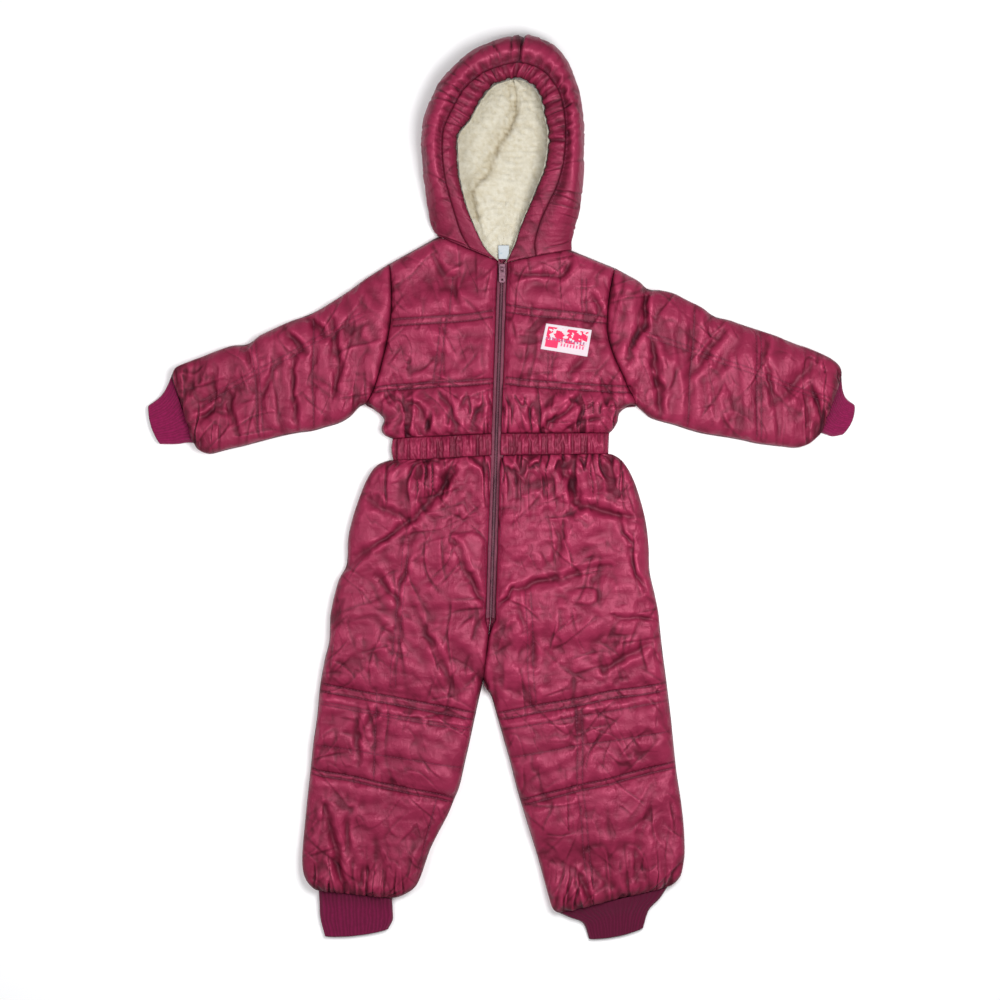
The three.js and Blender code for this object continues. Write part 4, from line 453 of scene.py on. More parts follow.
def quilting_at(p, rows=True):
    """Depth of the quilting: narrow grooves under the stitches, or one wide valley where rows is not set."""
    depth = np.zeros(len(p))
    for x0, y0, x1, y1, spacing, drawn in QUILTING:
        d, s, turn = to_segment(p, np.array([x0, y0], float), np.array([x1, y1], float))
        inside = (s > 0) & (s < 1)
        if rows:
            off = np.abs(d * turn + quilting_wander(p, x0, y0)) - spacing / 2
            depth = np.maximum(depth, drawn**0.8 * bell(off, 1.05) * inside)
        else:
            depth = np.maximum(depth, drawn * bell(d, 5.0 + spacing / 2))
    return depth


def thinned(d, least, more, radius):
    """Share of the padding's height at a distance from a line that draws it down."""
    return least + more * rounded(d, radius)


def front_height(p):
    """Height of the padded front before the cloth is slackened."""
    rise = rounded(distance(p, SIDE_LINES), FRONT_ROUND)
    waist = thinned(distance(p, WAIST_LINES), *AT_WAIST)
    zipped = thinned(np.maximum(0, distance(p, [ZIP_LINE]) - ZIP_HALF), *AT_ZIP)
    cuff = thinned(distance(p, CUFF_LINES), *AT_CUFF)
    seam = 2.4 * bell(distance(p, SEAM_LINES), 3.0)
    least = np.minimum(np.minimum(waist, zipped), cuff)
    swell = 1.6 * layered(p[:, 0], p[:, 1], 34, 5)
    relief = folds_at(p) - 3.4 * quilting_at(p, rows=False) - seam + swell
    return SEAM_Z + GAP + (CREST_Z - SEAM_Z) * rise * waist * zipped * cuff + relief * rise * least


def near(p, lines, reach):
    """1 on some lines, fading to 0 at the given reach."""
    return eased(np.clip(1 - distance(p, lines) / reach, 0, 1))


def normals_of(grid):
    u = np.gradient(grid, axis=0)
    v = np.gradient(grid, axis=1)
    n = np.cross(u, v)
    return n / np.maximum(np.linalg.norm(n, axis=2, keepdims=True), 1e-9)


def threads(shape, dr, dc):
    """Pairs of slices that join each point to the one dr rows and dc columns on, no point twice in a pair."""
    rows, columns = shape
    for start in range(2 * (dr or dc)):
        if dr:
            ra, rb = slice(start, rows - dr, 2 * dr), slice(start + dr, rows, 2 * dr)
            ca, cb = slice(max(0, -dc), columns - max(0, dc)), slice(max(0, dc), columns + min(0, dc))
        else:
            ra = rb = slice(0, rows)
            ca, cb = slice(start, columns - dc, 2 * dc), slice(start + dc, columns, 2 * dc)
        yield (ra, ca), (rb, cb)


def slack(base, start, sign, spare, held, rounds, wadding, bend):
    """Lays slack cloth over wadding that pushes it out: its spare length gathers in creases between swells.
    spare holds the extra shares of length along rows and columns, held is 1 where a point is sewn down, and
    bend holds the stiffness to short and longer bends, along rows and along columns."""
    push, above, below = wadding
    out = normals_of(base) * sign
    free = 1 - held
    p = base + out * (start * free)[..., None]
    more_rows, more_columns = spare
    diagonal = 0.5 * (more_rows + more_columns)
    kinds = [
        (1, 0, more_rows, 1.0, False), (0, 1, more_columns, 1.0, False),
        (1, 1, diagonal, 0.2, False), (1, -1, diagonal, 0.2, False),
        (2, 0, more_rows, bend[0][0], True), (0, 2, more_columns, bend[1][0], True),
        (3, 0, more_rows, bend[0][1], True), (0, 3, more_columns, bend[1][1], True),
    ]
    work = []
    for dr, dc, more, stiff, push_only in kinds:
        if not stiff:
            continue
        for a, b in threads(base.shape[:2], dr, dc):
            rest = np.linalg.norm(base[b] - base[a], axis=2) * (1 + 0.5 * (more[a] + more[b]))
            wa, wb = free[a][..., None], free[b][..., None]
            total = np.maximum(wa + wb, 1e-6)
            work.append((a, b, rest[..., None], stiff * wa / total, stiff * wb / total, push_only))
    for _ in range(rounds):
        off = ((p - base) * out).sum(2)
        back = (np.where(off > 0, above, below) * off - push) * free
        p -= out * back[..., None]
        p -= (p - base) * (0.004 * free)[..., None]
        for a, b, rest, wa, wb, push_only in work:
            d = p[b] - p[a]
            share = 1 - rest / np.maximum(np.sqrt((d * d).sum(2, keepdims=True)), 1e-6)
            if push_only:
                share = np.minimum(share, 0)
            d *= share
            p[a] += wa * d
            p[b] -= wb * d
    return p


def blurred(z, reach):
    """Mean over a square window, twice, with the borders repeated."""
    for _ in range(2):
        for axis in (0, 1):
            size = z.shape[axis]
            border = [(reach + 1, reach) if k == axis else (0, 0) for k in (0, 1)]
            wide = np.pad(z, border, mode="edge").cumsum(axis)
            ahead = np.take(wide, np.arange(2 * reach + 1, 2 * reach + 1 + size), axis)
            behind = np.take(wide, np.arange(size), axis)
            z = (ahead - behind) / (2 * reach + 1)
    return z


def painted_hollow_shade(grid):
    """Painted shade at each point: darker in creases than on even cloth, and lighter on crests as a painted
    highlight.
    """
    z = grid[..., 2]
    narrow = NARROW_SHARE * (blurred(z, NARROW_REACH) - z)
    broad = BROAD_SHARE * (blurred(z, BROAD_REACH) - z)
    return np.clip(EVEN_CLOTH + narrow + broad, 0, 1)


def finer(grid, times=2):
    """The same surface with times as many rows and columns."""
    rows = np.linspace(0, grid.shape[0] - 1, (grid.shape[0] - 1) * times + 1)
    columns = np.linspace(0, grid.shape[1] - 1, (grid.shape[1] - 1) * times + 1)
    return spline(spline(grid, rows).swapaxes(0, 1), columns).swapaxes(0, 1)


def new_piece(name, node, verts, faces, finish):
    """A smooth mesh of the garment's body. finish holds its slot's name, which is not used, and its material.
    """
    slot_name, material = finish
    mesh = bpy.data.meshes.new(name)
    mesh.from_pydata(((verts + SHIFT) * MM).tolist(), [], faces)
    mesh.polygons.foreach_set("use_smooth", np.ones(len(faces), bool))
    mesh.update()
    mesh.materials.append(material)
    obj = bpy.data.objects.new(name, mesh)
    bpy.context.scene.collection.objects.link(obj)
    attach(obj, GARMENT)
    if node:
        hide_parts(node)
    return obj


def mesh_piece(name, node, grids, facing, finish, dark=None, uvs=None, wrap=False):
    """One piece from grids of points, each joined round its columns where wrap is set.
    facing is 1 where the rows and columns turn the face out, and -1 where they turn it in."""
    verts, faces, shade, uv = [], [], [], []
    start = 0
    for g, grid in enumerate(grids):
        rows, columns = grid.shape[:2]
        verts.append(grid.reshape(-1, 3))
        r = np.arange(rows - 1)[:, None]
        c = np.arange(columns if wrap else columns - 1)[None, :]
        n = (c + 1) % columns
        here, ahead = r * columns, (r + 1) * columns
        quad = np.stack([here + c, here + n, ahead + n, ahead + c], -1)
        if facing[g] < 0:
            quad = quad[..., ::-1]
        faces.append(quad.reshape(-1, 4) + start)
        shade.append(np.zeros(rows * columns) if dark is None else dark[g].reshape(-1))
        uv.append((cloth_uv(grid) if uvs is None else uvs[g]).reshape(-1, 2))
        start += rows * columns
    faces = np.concatenate(faces)
    obj = new_piece(name, node, np.concatenate(verts), faces.tolist(), finish)
    # The attribute 'fold' carries each point's painted shade.
    attr = obj.data.attributes.new("fold", "FLOAT", "POINT")
    attr.data.foreach_set("value", np.concatenate(shade).astype(np.float32))
    layer = obj.data.uv_layers.new(name="cloth")
    layer.data.foreach_set("uv", np.concatenate(uv)[faces.reshape(-1)].astype(np.float32).reshape(-1))
    return obj


def turned_down(edge, drop):
    lower = edge.copy()
    lower[..., 2] -= np.clip(0.6 * (edge[..., 2] - SEAM_Z), 0.02, drop)
    return lower


def skirt(grid, sides, drop=3.2):
    """Turns the chosen edges of a panel down, as a seam allowance does."""
    if "first" in sides:
        grid = np.concatenate([turned_down(grid[:1], drop), grid])
    if "last" in sides:
        grid = np.concatenate([grid, turned_down(grid[-1:], drop)])
    if "left" in sides:
        grid = np.concatenate([turned_down(grid[:, :1], drop), grid], 1)
    if "right" in sides:
        grid = np.concatenate([grid, turned_down(grid[:, -1:], drop)], 1)
    return grid


def ruled(sections, step, columns=None):
    """Plan points between the two ends of smooth sections."""
    middle = (sections[:, :2] + sections[:, 2:]) / 2
    rows = spline(sections, even_places(middle, step))
    wide = np.linalg.norm(rows[:, 2:] - rows[:, :2], axis=1).mean()
    count = columns or int(wide / step)
    s = np.linspace(0, 1, count + 1)
    s = s - 0.035 * np.sin(2 * np.pi * s)
    return rows[:, None, :2] * (1 - s[None, :, None]) + rows[:, None, 2:] * s[None, :, None]


def lift(plan, height):
    flat = plan.reshape(-1, 2)
    return np.concatenate([flat, height(flat)[:, None]], 1).reshape(plan.shape[:2] + (3,))


def edge_mask(shape, sides):
    held = np.zeros(shape)
    if "first" in sides:
        held[0] = 1
    if "last" in sides:
        held[-1] = 1
    if "left" in sides:
        held[:, 0] = 1
    if "right" in sides:
        held[:, -1] = 1
    return held


def crease_lines(x, y, size, seed, stretch_x=1.0, stretch_y=1.0, turn=0.0, cover=0.15):
    """Thin meandering creases: their height, a small step with a groove at its foot, and the painted shade
    along them.
    """
    bx = x + 0.3 * size * noise(x, y, 2.2 * size, seed + 1)
    by = y + 0.3 * size * noise(x, y, 2.2 * size, seed + 2)
    u = (bx * math.cos(turn) + by * math.sin(turn)) * stretch_x
    v = (by * math.cos(turn) - bx * math.sin(turn)) * stretch_y
    value = noise(u, v, size, seed) + 0.12 * noise(u, v, 0.4 * size, seed + 3)
    here = np.clip(cover + 1.6 * noise(x, y, 1.9 * size, seed + 4), 0, 1)
    line = bell(value, 0.13) * here
    step = (value / 0.24) * bell(value, 0.24) * here
    return step - 0.55 * line, line


def creased(x, y, seed, waist, cuff, seam):
    """Fine creases, with the painted shade along them: crossing ones all over, and ones that run out from the
    gathers and the stitches.
    """
    relief, dark = 0.0, 0.0
    for size, sx, sy, turn, amount in CREASES:
        height, line = crease_lines(x, y, size, seed + int(size * 3), sx, sy, turn)
        relief = relief + amount * height
        dark = dark + amount * line
    for size, stretch in GATHERS:
        height, line = crease_lines(x, y, size, seed + 71 + size, 1.0, stretch, 0.0, 0.75)
        relief = relief + (2.2 * waist**2 + 1.7 * cuff) * height
        dark = dark + (1.1 * waist**2 + 0.5 * cuff) * line
    height, line = crease_lines(x, y, 7, seed + 81, 1.0, 0.7, 0.5)
    return relief + 0.55 * seam * height, np.clip(dark + 0.4 * seam * line, 0, 1)


def front_surface(plan, seed, spare, ripple=0.0):
    """A padded front panel: sewn down round its edges and along its quilting, slack between. plan is twice as
    coarse as the cloth: broad folds form on it first, and then fine creases on the finer cloth."""
    spare_rows, spare_columns = spare
    edges = ("first", "last", "left", "right")

    def sewn(grid, wide):
        rows = quilting_at(grid[..., :2].reshape(-1, 2), rows=not wide).reshape(grid.shape[:2])
        return np.maximum(edge_mask(grid.shape[:2], edges), (0.75 if wide else 0.6) * rows)

    def height(p):
        swell = layered(p[:, 0], p[:, 1], 46, seed + 9, 2) * rounded(distance(p, SIDE_LINES), 25)
        return front_height(p) + 3.0 * swell

    flat = plan.reshape(-1, 2)
    shape = plan.shape[:2]
    base = lift(plan, height)
    waist = near(flat, WAIST_LINES, 105).reshape(shape)
    cuff = near(flat, CUFF_LINES, 66).reshape(shape)
    x, y = flat[:, 0].reshape(shape), flat[:, 1].reshape(shape)
    across = np.linspace(0, 1, shape[1])[None] * np.linalg.norm(plan[:, -1] - plan[:, 0], axis=1).mean()
    along = np.arange(shape[0])[:, None] * 2 * GRID
    pleats = noise(across + 0 * along, along * 0.05 + 0 * across, 12.5, seed) * (waist + 0.8 * cuff)
    start = 1.8 * pleats + 0.5 * (1 - waist) * layered(x, y, 34, seed + 1)
    bent = along + 14 * noise(x, y, 60, seed + 6)
    ripples = noise(bent, 0.2 * across, 15, seed + 7) + 0.6 * noise(bent, 0.3 * across, 27, seed + 8)
    start = start + ripple * ripples
    spare = (spare_rows * (1 - 0.8 * waist), spare_columns + 0.06 * waist**1.5 + 0.05 * cuff)
    sign = np.sign(normals_of(base)[..., 2].sum())
    bend = (SUPPLE, STIFF) if ripple else (STIFF, SUPPLE)
    p = slack(base, start, sign, spare, sewn(plan, True), ROUNDS, BROAD_WADDING, bend)
    plan = finer(plan)
    base = lift(plan, height) + finer(p - base)
    start = 0.25 * layered(base[..., 0], base[..., 1], 16, seed + 2)
    fine = 0.004 + 0.016 * finer((waist + cuff)[..., None])[..., 0]
    p = slack(base, start, sign, (fine, fine), sewn(plan, False), ROUNDS // 2, FINE_WADDING, (FINE, FINE))
    p = finer(p)
    flat = p[..., :2].reshape(-1, 2)
    shape = p.shape[:2]
    inside = rounded(distance(flat, SIDE_LINES), 10).reshape(shape)
    groove = quilting_at(flat).reshape(shape) * inside
    seam = quilting_at(flat, rows=False).reshape(shape)
    waist, cuff = (finer(finer(m[..., None]))[..., 0] for m in (waist, cuff))
    relief, line = creased(p[..., 0], p[..., 1], seed, waist, cuff, seam)
    p[..., 2] += inside * (2.0 * relief - 1.0 * groove)
    # Painted shade: in creases, along the stitched grooves and the fine crease lines, and at the rims and by
    # the cuffs, where the padding turns from the light.
    rim = bell(distance(flat, SIDE_LINES), 3.5) + near(flat, CUFF_LINES, 12)
    dark = painted_hollow_shade(p) + GROOVE_SHADE * groove + CREASE_SHADE * line * inside + RIM_SHADE * rim.reshape(shape)
    return p, np.clip(dark, 0, 1)


def back_surface(plan, seed):
    """A back panel: flat on the floor, turned up to the side seams, its folds and quilting pressed in."""

    def height(p):
        up = 1 - rounded(distance(p, SIDE_LINES), BACK_ROUND)
        mirrored = p * np.array([-1.0, 1.0])
        press = 0.9 * quilting_at(p) + 0.28 * np.clip(-folds_at(mirrored), 0, 4)
        press += 0.9 * np.clip(layered(p[:, 0], p[:, 1], 30, seed) - 0.35, 0, 1)
        return (SEAM_Z - GAP) * up + press * (1 - up)

    return lift(plan, height)


def joined_dark(sides, dark):
    """Gives the turned-down edges of a panel their painted shade."""
    rows = (int("first" in sides), int("last" in sides))
    columns = (int("left" in sides), int("right" in sides))
    return np.pad(dark, (rows, columns), constant_values=EDGE_SHADE)


# Materials.

# Shell colours along the painted shade: a painted highlight on crests, the cloth's own colour on even cloth,
# then painted shade and deep painted shade in creases.
SHELL_PAINTED_HIGHLIGHT = (0.310, 0.0230, 0.072)
SHELL_MID = (0.203, 0.0115, 0.0428)
SHELL_PAINTED_SHADE = (0.108, 0.0050, 0.0200)
SHELL_PAINTED_DEEP_SHADE = (0.036, 0.0015, 0.0070)
RIB_MID = (0.24, 0.009, 0.066)
PILE_MID = (0.55, 0.52, 0.43)


class Look:
    """A node material, built up from its shader."""

    def __init__(self, name, colour, roughness, **sockets):
        self.mat = bpy.data.materials.new(name)
        self.mat.use_nodes = True
        self.tree = self.mat.node_tree
        self.shader = self.tree.nodes["Principled BSDF"]
        self.shader.inputs["Base Color"].default_value = (*colour, 1)
        self.shader.inputs["Roughness"].default_value = roughness
        for key, value in sockets.items():
            self.shader.inputs[key.replace("_", " ")].default_value = value
        self.place = self.add("ShaderNodeTexCoord")
        self.normal = None

    def add(self, kind, **settings):
        node = self.tree.nodes.new(kind)
        for key, value in settings.items():
            setattr(node, key, value)
        return node

    def link(self, a, b):
        self.tree.links.new(a, b)

    def noise(self, scale, detail=3.0, rough=0.55, source="Object", stretch=(1, 1, 1)):
        node = self.add("ShaderNodeTexNoise")
        node.inputs["Scale"].default_value = scale
        node.inputs["Detail"].default_value = detail
        node.inputs["Roughness"].default_value = rough
        self.link(self.mapped(source, stretch), node.inputs["Vector"])
        return node.outputs["Fac"]

    def ridges(self, scale, detail, rough, stretch):
        """Sharp crests that branch, as in crumpled cloth."""
        node = self.add("ShaderNodeTexNoise", noise_type="RIDGED_MULTIFRACTAL", normalize=True)
        values = {"Scale": scale, "Detail": detail, "Roughness": rough, "Offset": 1.0, "Gain": 1.5}
        for key, value in values.items():
            node.inputs[key].default_value = value
        self.link(self.mapped("Object", stretch), node.inputs["Vector"])
        return node.outputs["Fac"]

    def mapped(self, source, stretch):
        node = self.add("ShaderNodeMapping")
        node.inputs["Scale"].default_value = stretch
        self.link(self.place.outputs[source], node.inputs["Vector"])
        return node.outputs["Vector"]

    def wave(self, scale, source="UV", direction="X", bend=0.0):
        node = self.add("ShaderNodeTexWave", bands_direction=direction)
        node.inputs["Scale"].default_value = scale
        node.inputs["Distortion"].default_value = bend
        self.link(self.place.outputs[source], node.inputs["Vector"])
        return node.outputs["Fac"]

    # Reads the painted shade, which the pieces keep in the attribute 'fold'.
    def attribute(self, name="fold"):
        return self.add("ShaderNodeAttribute", attribute_name=name).outputs["Fac"]

    def math(self, kind, a, b):
        node = self.add("ShaderNodeMath", operation=kind)
        for socket, value in zip(node.inputs, (a, b)):
            if isinstance(value, (int, float)):
                socket.default_value = value
            else:
                self.link(value, socket)
        return node.outputs[0]

    def ramp(self, fac, *stops):
        node = self.add("ShaderNodeValToRGB")
        ramp = node.color_ramp
        while len(ramp.elements) < len(stops):
            ramp.elements.new(0.5)
        for element, (at, colour) in zip(ramp.elements, stops):
            element.position = at
            element.color = (*colour, 1)
        self.link(fac, node.inputs["Fac"])
        return node.outputs["Color"]

    def mix(self, fac, a, b, kind="MIX"):
        node = self.add("ShaderNodeMix", data_type="RGBA", blend_type=kind)
        for socket, value in ((node.inputs[0], fac), (node.inputs[6], a), (node.inputs[7], b)):
            if isinstance(value, (int, float)):
                socket.default_value = value
            elif isinstance(value, tuple):
                socket.default_value = (*value, 1)
            else:
                self.link(value, socket)
        return node.outputs[2]

    def bump(self, height, depth_mm, strength=1.0):
        node = self.add("ShaderNodeBump")
        node.inputs["Strength"].default_value = strength
        node.inputs["Distance"].default_value = depth_mm * MM
        self.link(height, node.inputs["Height"])
        if self.normal is not None:
            self.link(self.normal, node.inputs["Normal"])
        self.normal = node.outputs["Normal"]
        self.link(self.normal, self.shader.inputs["Normal"])

    def colour(self, value):
        self.link(value, self.shader.inputs["Base Color"])
        return self.mat

    def rough(self, value):
        self.link(value, self.shader.inputs["Roughness"])


def shell_look():
    pink = (1.0, 0.62, 0.74, 1.0)
    look = Look("shell_nylon", SHELL_MID, 0.46, Metallic=0.14, Specular_IOR_Level=0.34, Specular_Tint=pink)
    # The 'fold' attribute picks each point's colour, from painted highlight to deep painted shade.
    stops = ((0.0, SHELL_PAINTED_HIGHLIGHT), (EVEN_CLOTH, SHELL_MID), (0.55, SHELL_PAINTED_SHADE), (1.0, SHELL_PAINTED_DEEP_SHADE))
    creased = look.ramp(look.attribute(), *stops)
    cloudy = look.ramp(look.noise(16.0, 4.0), (0.3, (0.86, 0.84, 0.84)), (0.72, (1.0, 1.0, 1.0)))
    look.bump(look.ridges(24.0, 5.0, 0.60, (1.0, 0.5, 1.0)), 1.5, 0.5)
    look.bump(look.ridges(47.0, 4.0, 0.55, (0.6, 1.0, 1.0)), 0.6, 0.45)
    look.bump(look.noise(420.0, 2.0, 0.5), 0.12, 0.4)
    weave = look.math("MULTIPLY", look.wave(0.35, direction="X"), look.wave(0.35, direction="Y"))
    look.bump(weave, 0.05, 0.3)
    cloudy_gloss = look.math("ADD", look.math("MULTIPLY", look.noise(60.0, 3.0), 0.16), 0.31)
    look.rough(look.math("ADD", cloudy_gloss, look.math("MULTIPLY", look.attribute(), 0.27)))
    return look.colour(look.mix(1.0, creased, cloudy, "MULTIPLY"))


def rib_look():
    look = Look("rib_knit", RIB_MID, 0.85, Specular_IOR_Level=0.12, Sheen_Weight=0.1, Sheen_Roughness=0.5)
    fuzz = look.noise(300.0, 4.0, 0.7)
    colour = look.ramp(fuzz, (0.25, (0.165, 0.0045, 0.046)), (0.75, (0.275, 0.0085, 0.080)))
    # Painted shade: the 'fold' attribute mixes in a dark colour between the ribs and under the hem.
    colour = look.mix(look.attribute(), colour, (0.085, 0.004, 0.024))
    look.bump(look.wave(0.36, direction="Y", bend=1.5), 0.25, 0.6)
    look.bump(fuzz, 0.3, 0.5)
    return look.colour(colour)


def pile_look():
    look = Look("cream_pile", PILE_MID, 0.95, Specular_IOR_Level=0.1, Sheen_Weight=0.4, Sheen_Roughness=0.6)
    tufts = look.noise(230.0, 4.0, 0.7)
    colour = look.ramp(tufts, (0.3, (0.47, 0.436, 0.345)), (0.7, (0.56, 0.53, 0.445)))
    # Painted shade from the 'fold' attribute, from white to a brown shadow colour.
    stops = ((0.0, (1.0, 1.0, 1.0)), (0.45, (0.84, 0.80, 0.72)), (1.0, (0.42, 0.34, 0.22)))
    shade = look.ramp(look.attribute(), *stops)
    colour = look.mix(1.0, colour, shade, "MULTIPLY")
    look.bump(tufts, 0.9, 0.8)
    look.bump(look.noise(700.0, 3.0, 0.7), 0.3, 0.6)
    return look.colour(colour)


def tape_look():
    look = Look("zip_tape", (0.150, 0.035, 0.062), 0.8, Specular_IOR_Level=0.3, Sheen_Weight=0.2)
    look.bump(look.noise(900.0, 2.0, 0.5, stretch=(1, 0.35, 1)), 0.15, 0.6)
    fleck = look.noise(700.0, 3.0, 0.6, stretch=(1, 0.3, 1))
    return look.colour(look.ramp(fleck, (0.3, (0.120, 0.024, 0.046)), (0.75, (0.200, 0.052, 0.086))))


def coil_look():
    look = Look("zip_coil", (0.13, 0.045, 0.070), 0.4, Specular_IOR_Level=0.5)
    fleck = look.noise(90.0, 2.0)
    return look.colour(look.ramp(fleck, (0.3, (0.115, 0.036, 0.058)), (0.7, (0.175, 0.062, 0.090))))


def metal_look():
    look = Look("enamelled_metal", (0.13, 0.045, 0.08), 0.42, Metallic=0.4, Specular_IOR_Level=0.5)
    worn = look.noise(400.0, 3.0)
    look.bump(worn, 0.04, 0.4)
    return look.colour(look.ramp(worn, (0.35, (0.10, 0.032, 0.056)), (0.75, (0.20, 0.085, 0.12))))


def label_look():
    """A woven label: a pale border round a crimson field with plain blocks and a row of bars."""
    look = Look("woven_label", (0.85, 0.72, 0.76), 0.75, Specular_IOR_Level=0.25)
    parts = look.add("ShaderNodeSeparateXYZ")
    look.link(look.place.outputs["UV"], parts.inputs[0])
    u, v = parts.outputs["X"], parts.outputs["Y"]

    def between(value, low, high):
        above = look.math("GREATER_THAN", value, low)
        return look.math("MULTIPLY", above, look.math("LESS_THAN", value, high))

    field = look.math("MULTIPLY", between(u, 0.06, 0.94), between(v, 0.10, 0.90))
    upper = look.math("MULTIPLY", field, between(v, 0.36, 0.90))
    blots = look.math("GREATER_THAN", look.noise(5.5, 2.0, 0.5, source="UV", stretch=(1.4, 1, 1)), 0.53)
    bars = look.math("GREATER_THAN", look.math("SINE", look.math("MULTIPLY", u, 95.0), 0.0), -0.1)
    row = look.math("MULTIPLY", between(v, 0.22, 0.34), between(u, 0.40, 0.90))
    stripe = look.math("MULTIPLY", between(v, 0.40, 0.50), between(u, 0.07, 0.93))
    colour = look.mix(upper, (0.55, 0.47, 0.51), (0.60, 0.022, 0.085))
    colour = look.mix(look.math("MULTIPLY", upper, blots), colour, (0.55, 0.48, 0.51))
    colour = look.mix(look.math("MULTIPLY", stripe, bars), colour, (0.33, 0.10, 0.20))
    colour = look.mix(look.math("MULTIPLY", row, bars), colour, (0.62, 0.10, 0.20))
    corner = look.math("MULTIPLY", between(u, 0.07, 0.34), between(v, 0.12, 0.40))
    colour = look.mix(corner, colour, (0.62, 0.03, 0.10))
    look.bump(look.noise(900.0, 2.0, 0.5), 0.1, 0.6)
    return look.colour(colour)


def plain_label_look():
    look = Look("white_label", (0.80, 0.82, 0.84), 0.8, Specular_IOR_Level=0.25)
    look.bump(look.noise(900.0, 2.0, 0.5), 0.1, 0.6)
    faded = look.noise(120.0, 2.0)
    return look.colour(look.ramp(faded, (0.45, (0.30, 0.37, 0.42)), (0.55, (0.42, 0.455, 0.48))))


def thread_look():
    look = Look("thread", (0.15, 0.012, 0.045), 0.6, Specular_IOR_Level=0.4)
    ply = look.noise(800.0, 2.0)
    return look.colour(look.ramp(ply, (0.3, (0.11, 0.009, 0.032)), (0.7, (0.21, 0.020, 0.066))))


SHELL, RIB, PILE = ("shell", shell_look()), ("rib_knit", rib_look()), ("pile", pile_look())
THREAD, TAPE, COIL = ("shell", thread_look()), ("zip_tape", tape_look()), ("coil", coil_look())
# Pieces on which stitches and labels lie.
tops = []


def cloth_uv(grid):
    """Distances along the cloth, in millimetres, as texture places."""
    rows, columns = grid.shape[:2]
    v = np.concatenate([[0], np.cumsum(np.linalg.norm(np.diff(grid[:, columns // 2], axis=0), axis=1))])
    u = np.concatenate([[0], np.cumsum(np.linalg.norm(np.diff(grid[rows // 2], axis=0), axis=1))])
    return np.stack(np.broadcast_arrays(u[None, :], v[:, None]), -1)


def facing_of(grid, want):
    """Whether rows and columns already turn the grid's face the way wanted along Z."""
    return int(np.sign(normals_of(grid)[..., 2].sum()) * want) or 1


def spans(grid):
    """The cloth's greatest width and length, and its area, along its surface."""
    across = np.linalg.norm(np.diff(grid, axis=1), axis=2).sum(1).max()
    along = np.linalg.norm(np.diff(grid, axis=0), axis=2).sum(0).max()
    u, v = grid[1:, :-1] - grid[:-1, :-1], grid[:-1, 1:] - grid[:-1, :-1]
    return across, along, np.linalg.norm(np.cross(u, v), axis=2).sum()


def declare(grids):
    """Measures the widths, lengths and areas of the cloth in a piece's grids, and keeps none of them."""
    sizes = np.array([spans(grid) for grid in grids])


def shell_piece(node, grids, facing, shades, cut):
    """A panel of the shell, named after its node. cut holds the surfaces on which its cloth is measured."""
    obj = mesh_piece(f"{node}_shell", node, grids, facing, SHELL, shades)
    declare(cut)
    return obj


def front_panel(node, p, dark, sides):
    """A front panel with its edges turned down."""
    shades = [joined_dark(sides, dark)]
    tops.append(shell_piece(node, [skirt(p, sides)], [facing_of(p, 1)], shades, [p]))


def back_panel(node, plans):
    grids = [back_surface(plan, BACK_SEED) for plan in plans]
    shell_piece(node, grids, [facing_of(grid, -1) for grid in grids], None, grids)


# Trousers.
for side, word, table in ((-1, "right", RIGHT_LEG), (1, "left", LEFT_LEG)):
    p, dark = front_surface(ruled(leg_sections(table, side), 2 * GRID), LEG_SEED + side, PANEL_SPARE)
    sides = ("first", "last", "right")
    front_panel(f"trouser_front_{word}", p, dark, sides)
    back_panel(f"trouser_back_{word}", [ruled(leg_sections(table, side, True), BACK_STEP)])


def bodice_plan(table, neck, side, step):
    middle = np.array([((r[0] + centre_x(r[2])) / 2, (r[1] + r[2]) / 2) for r in table], float)
    s = np.linspace(0, 1, int(BODICE_WIDTH / step) + 1)
    s = s - 0.02 * np.sin(2 * np.pi * s)
    return np.stack([bodice_point(table, neck, side, s, k) for k in even_places(middle, step)])


def bodice_back_plan(table, neck, side):
    """One half of the back, out to the middle, its top along the shoulder and the nape."""
    rows = []
    s = np.linspace(0, 1, NAPE_POINTS)[1:, None]
    for k in np.linspace(0, len(table) - 1, BODICE_BACK_ROWS):
        row = spline(np.array(table), np.array([k]))[0]
        edge = bodice_point(table, neck, side, np.linspace(0, neck[0], SHOULDER_POINTS), k)
        middle = np.array([NAPE[0], row[2] + (NAPE[1] - 0.6 - row[2]) * row[3]])
        rows.append(np.vstack([edge, edge[-1] * (1 - s) + middle * s]))
    return np.array(rows)


# Bodice.
HALVES = ((-1, "right", RIGHT_BODICE, RIGHT_NECK), (1, "left", LEFT_BODICE, LEFT_NECK))
for side, word, table, neck in HALVES:
    p, dark = front_surface(bodice_plan(table, neck, side, 2 * GRID), BODICE_SEED + side, PANEL_SPARE)
    sides = ("first", "last", "left", "right")
    front_panel(f"bodice_front_{word}", p, dark, sides)
back_panel("bodice_back", [bodice_back_plan(table, neck, side) for side, _, table, neck in HALVES])


def sleeve_plan(table, bodice_table, side, step):
    """Plan of a sleeve whose first rows follow the curve of the armhole."""
    plan = ruled(np.array(table, float), step)
    curve = dense(armhole(bodice_table), 3.0)
    share = (curve[:, 1] - curve[0, 1]) / (curve[-1, 1] - curve[0, 1])
    chord = plan[0]
    at = (chord[:, 1] - chord[0, 1]) / (chord[-1, 1] - chord[0, 1])
    target = np.stack([np.interp(at, share, curve[:, 0]) + side * 0.4, np.interp(at, share, curve[:, 1])], -1)
    fade = np.clip(1 - np.arange(len(plan)) * step / ARMHOLE_REACH, 0, 1)[:, None, None] ** 1.5
    return plan + fade * (target - chord)[None]


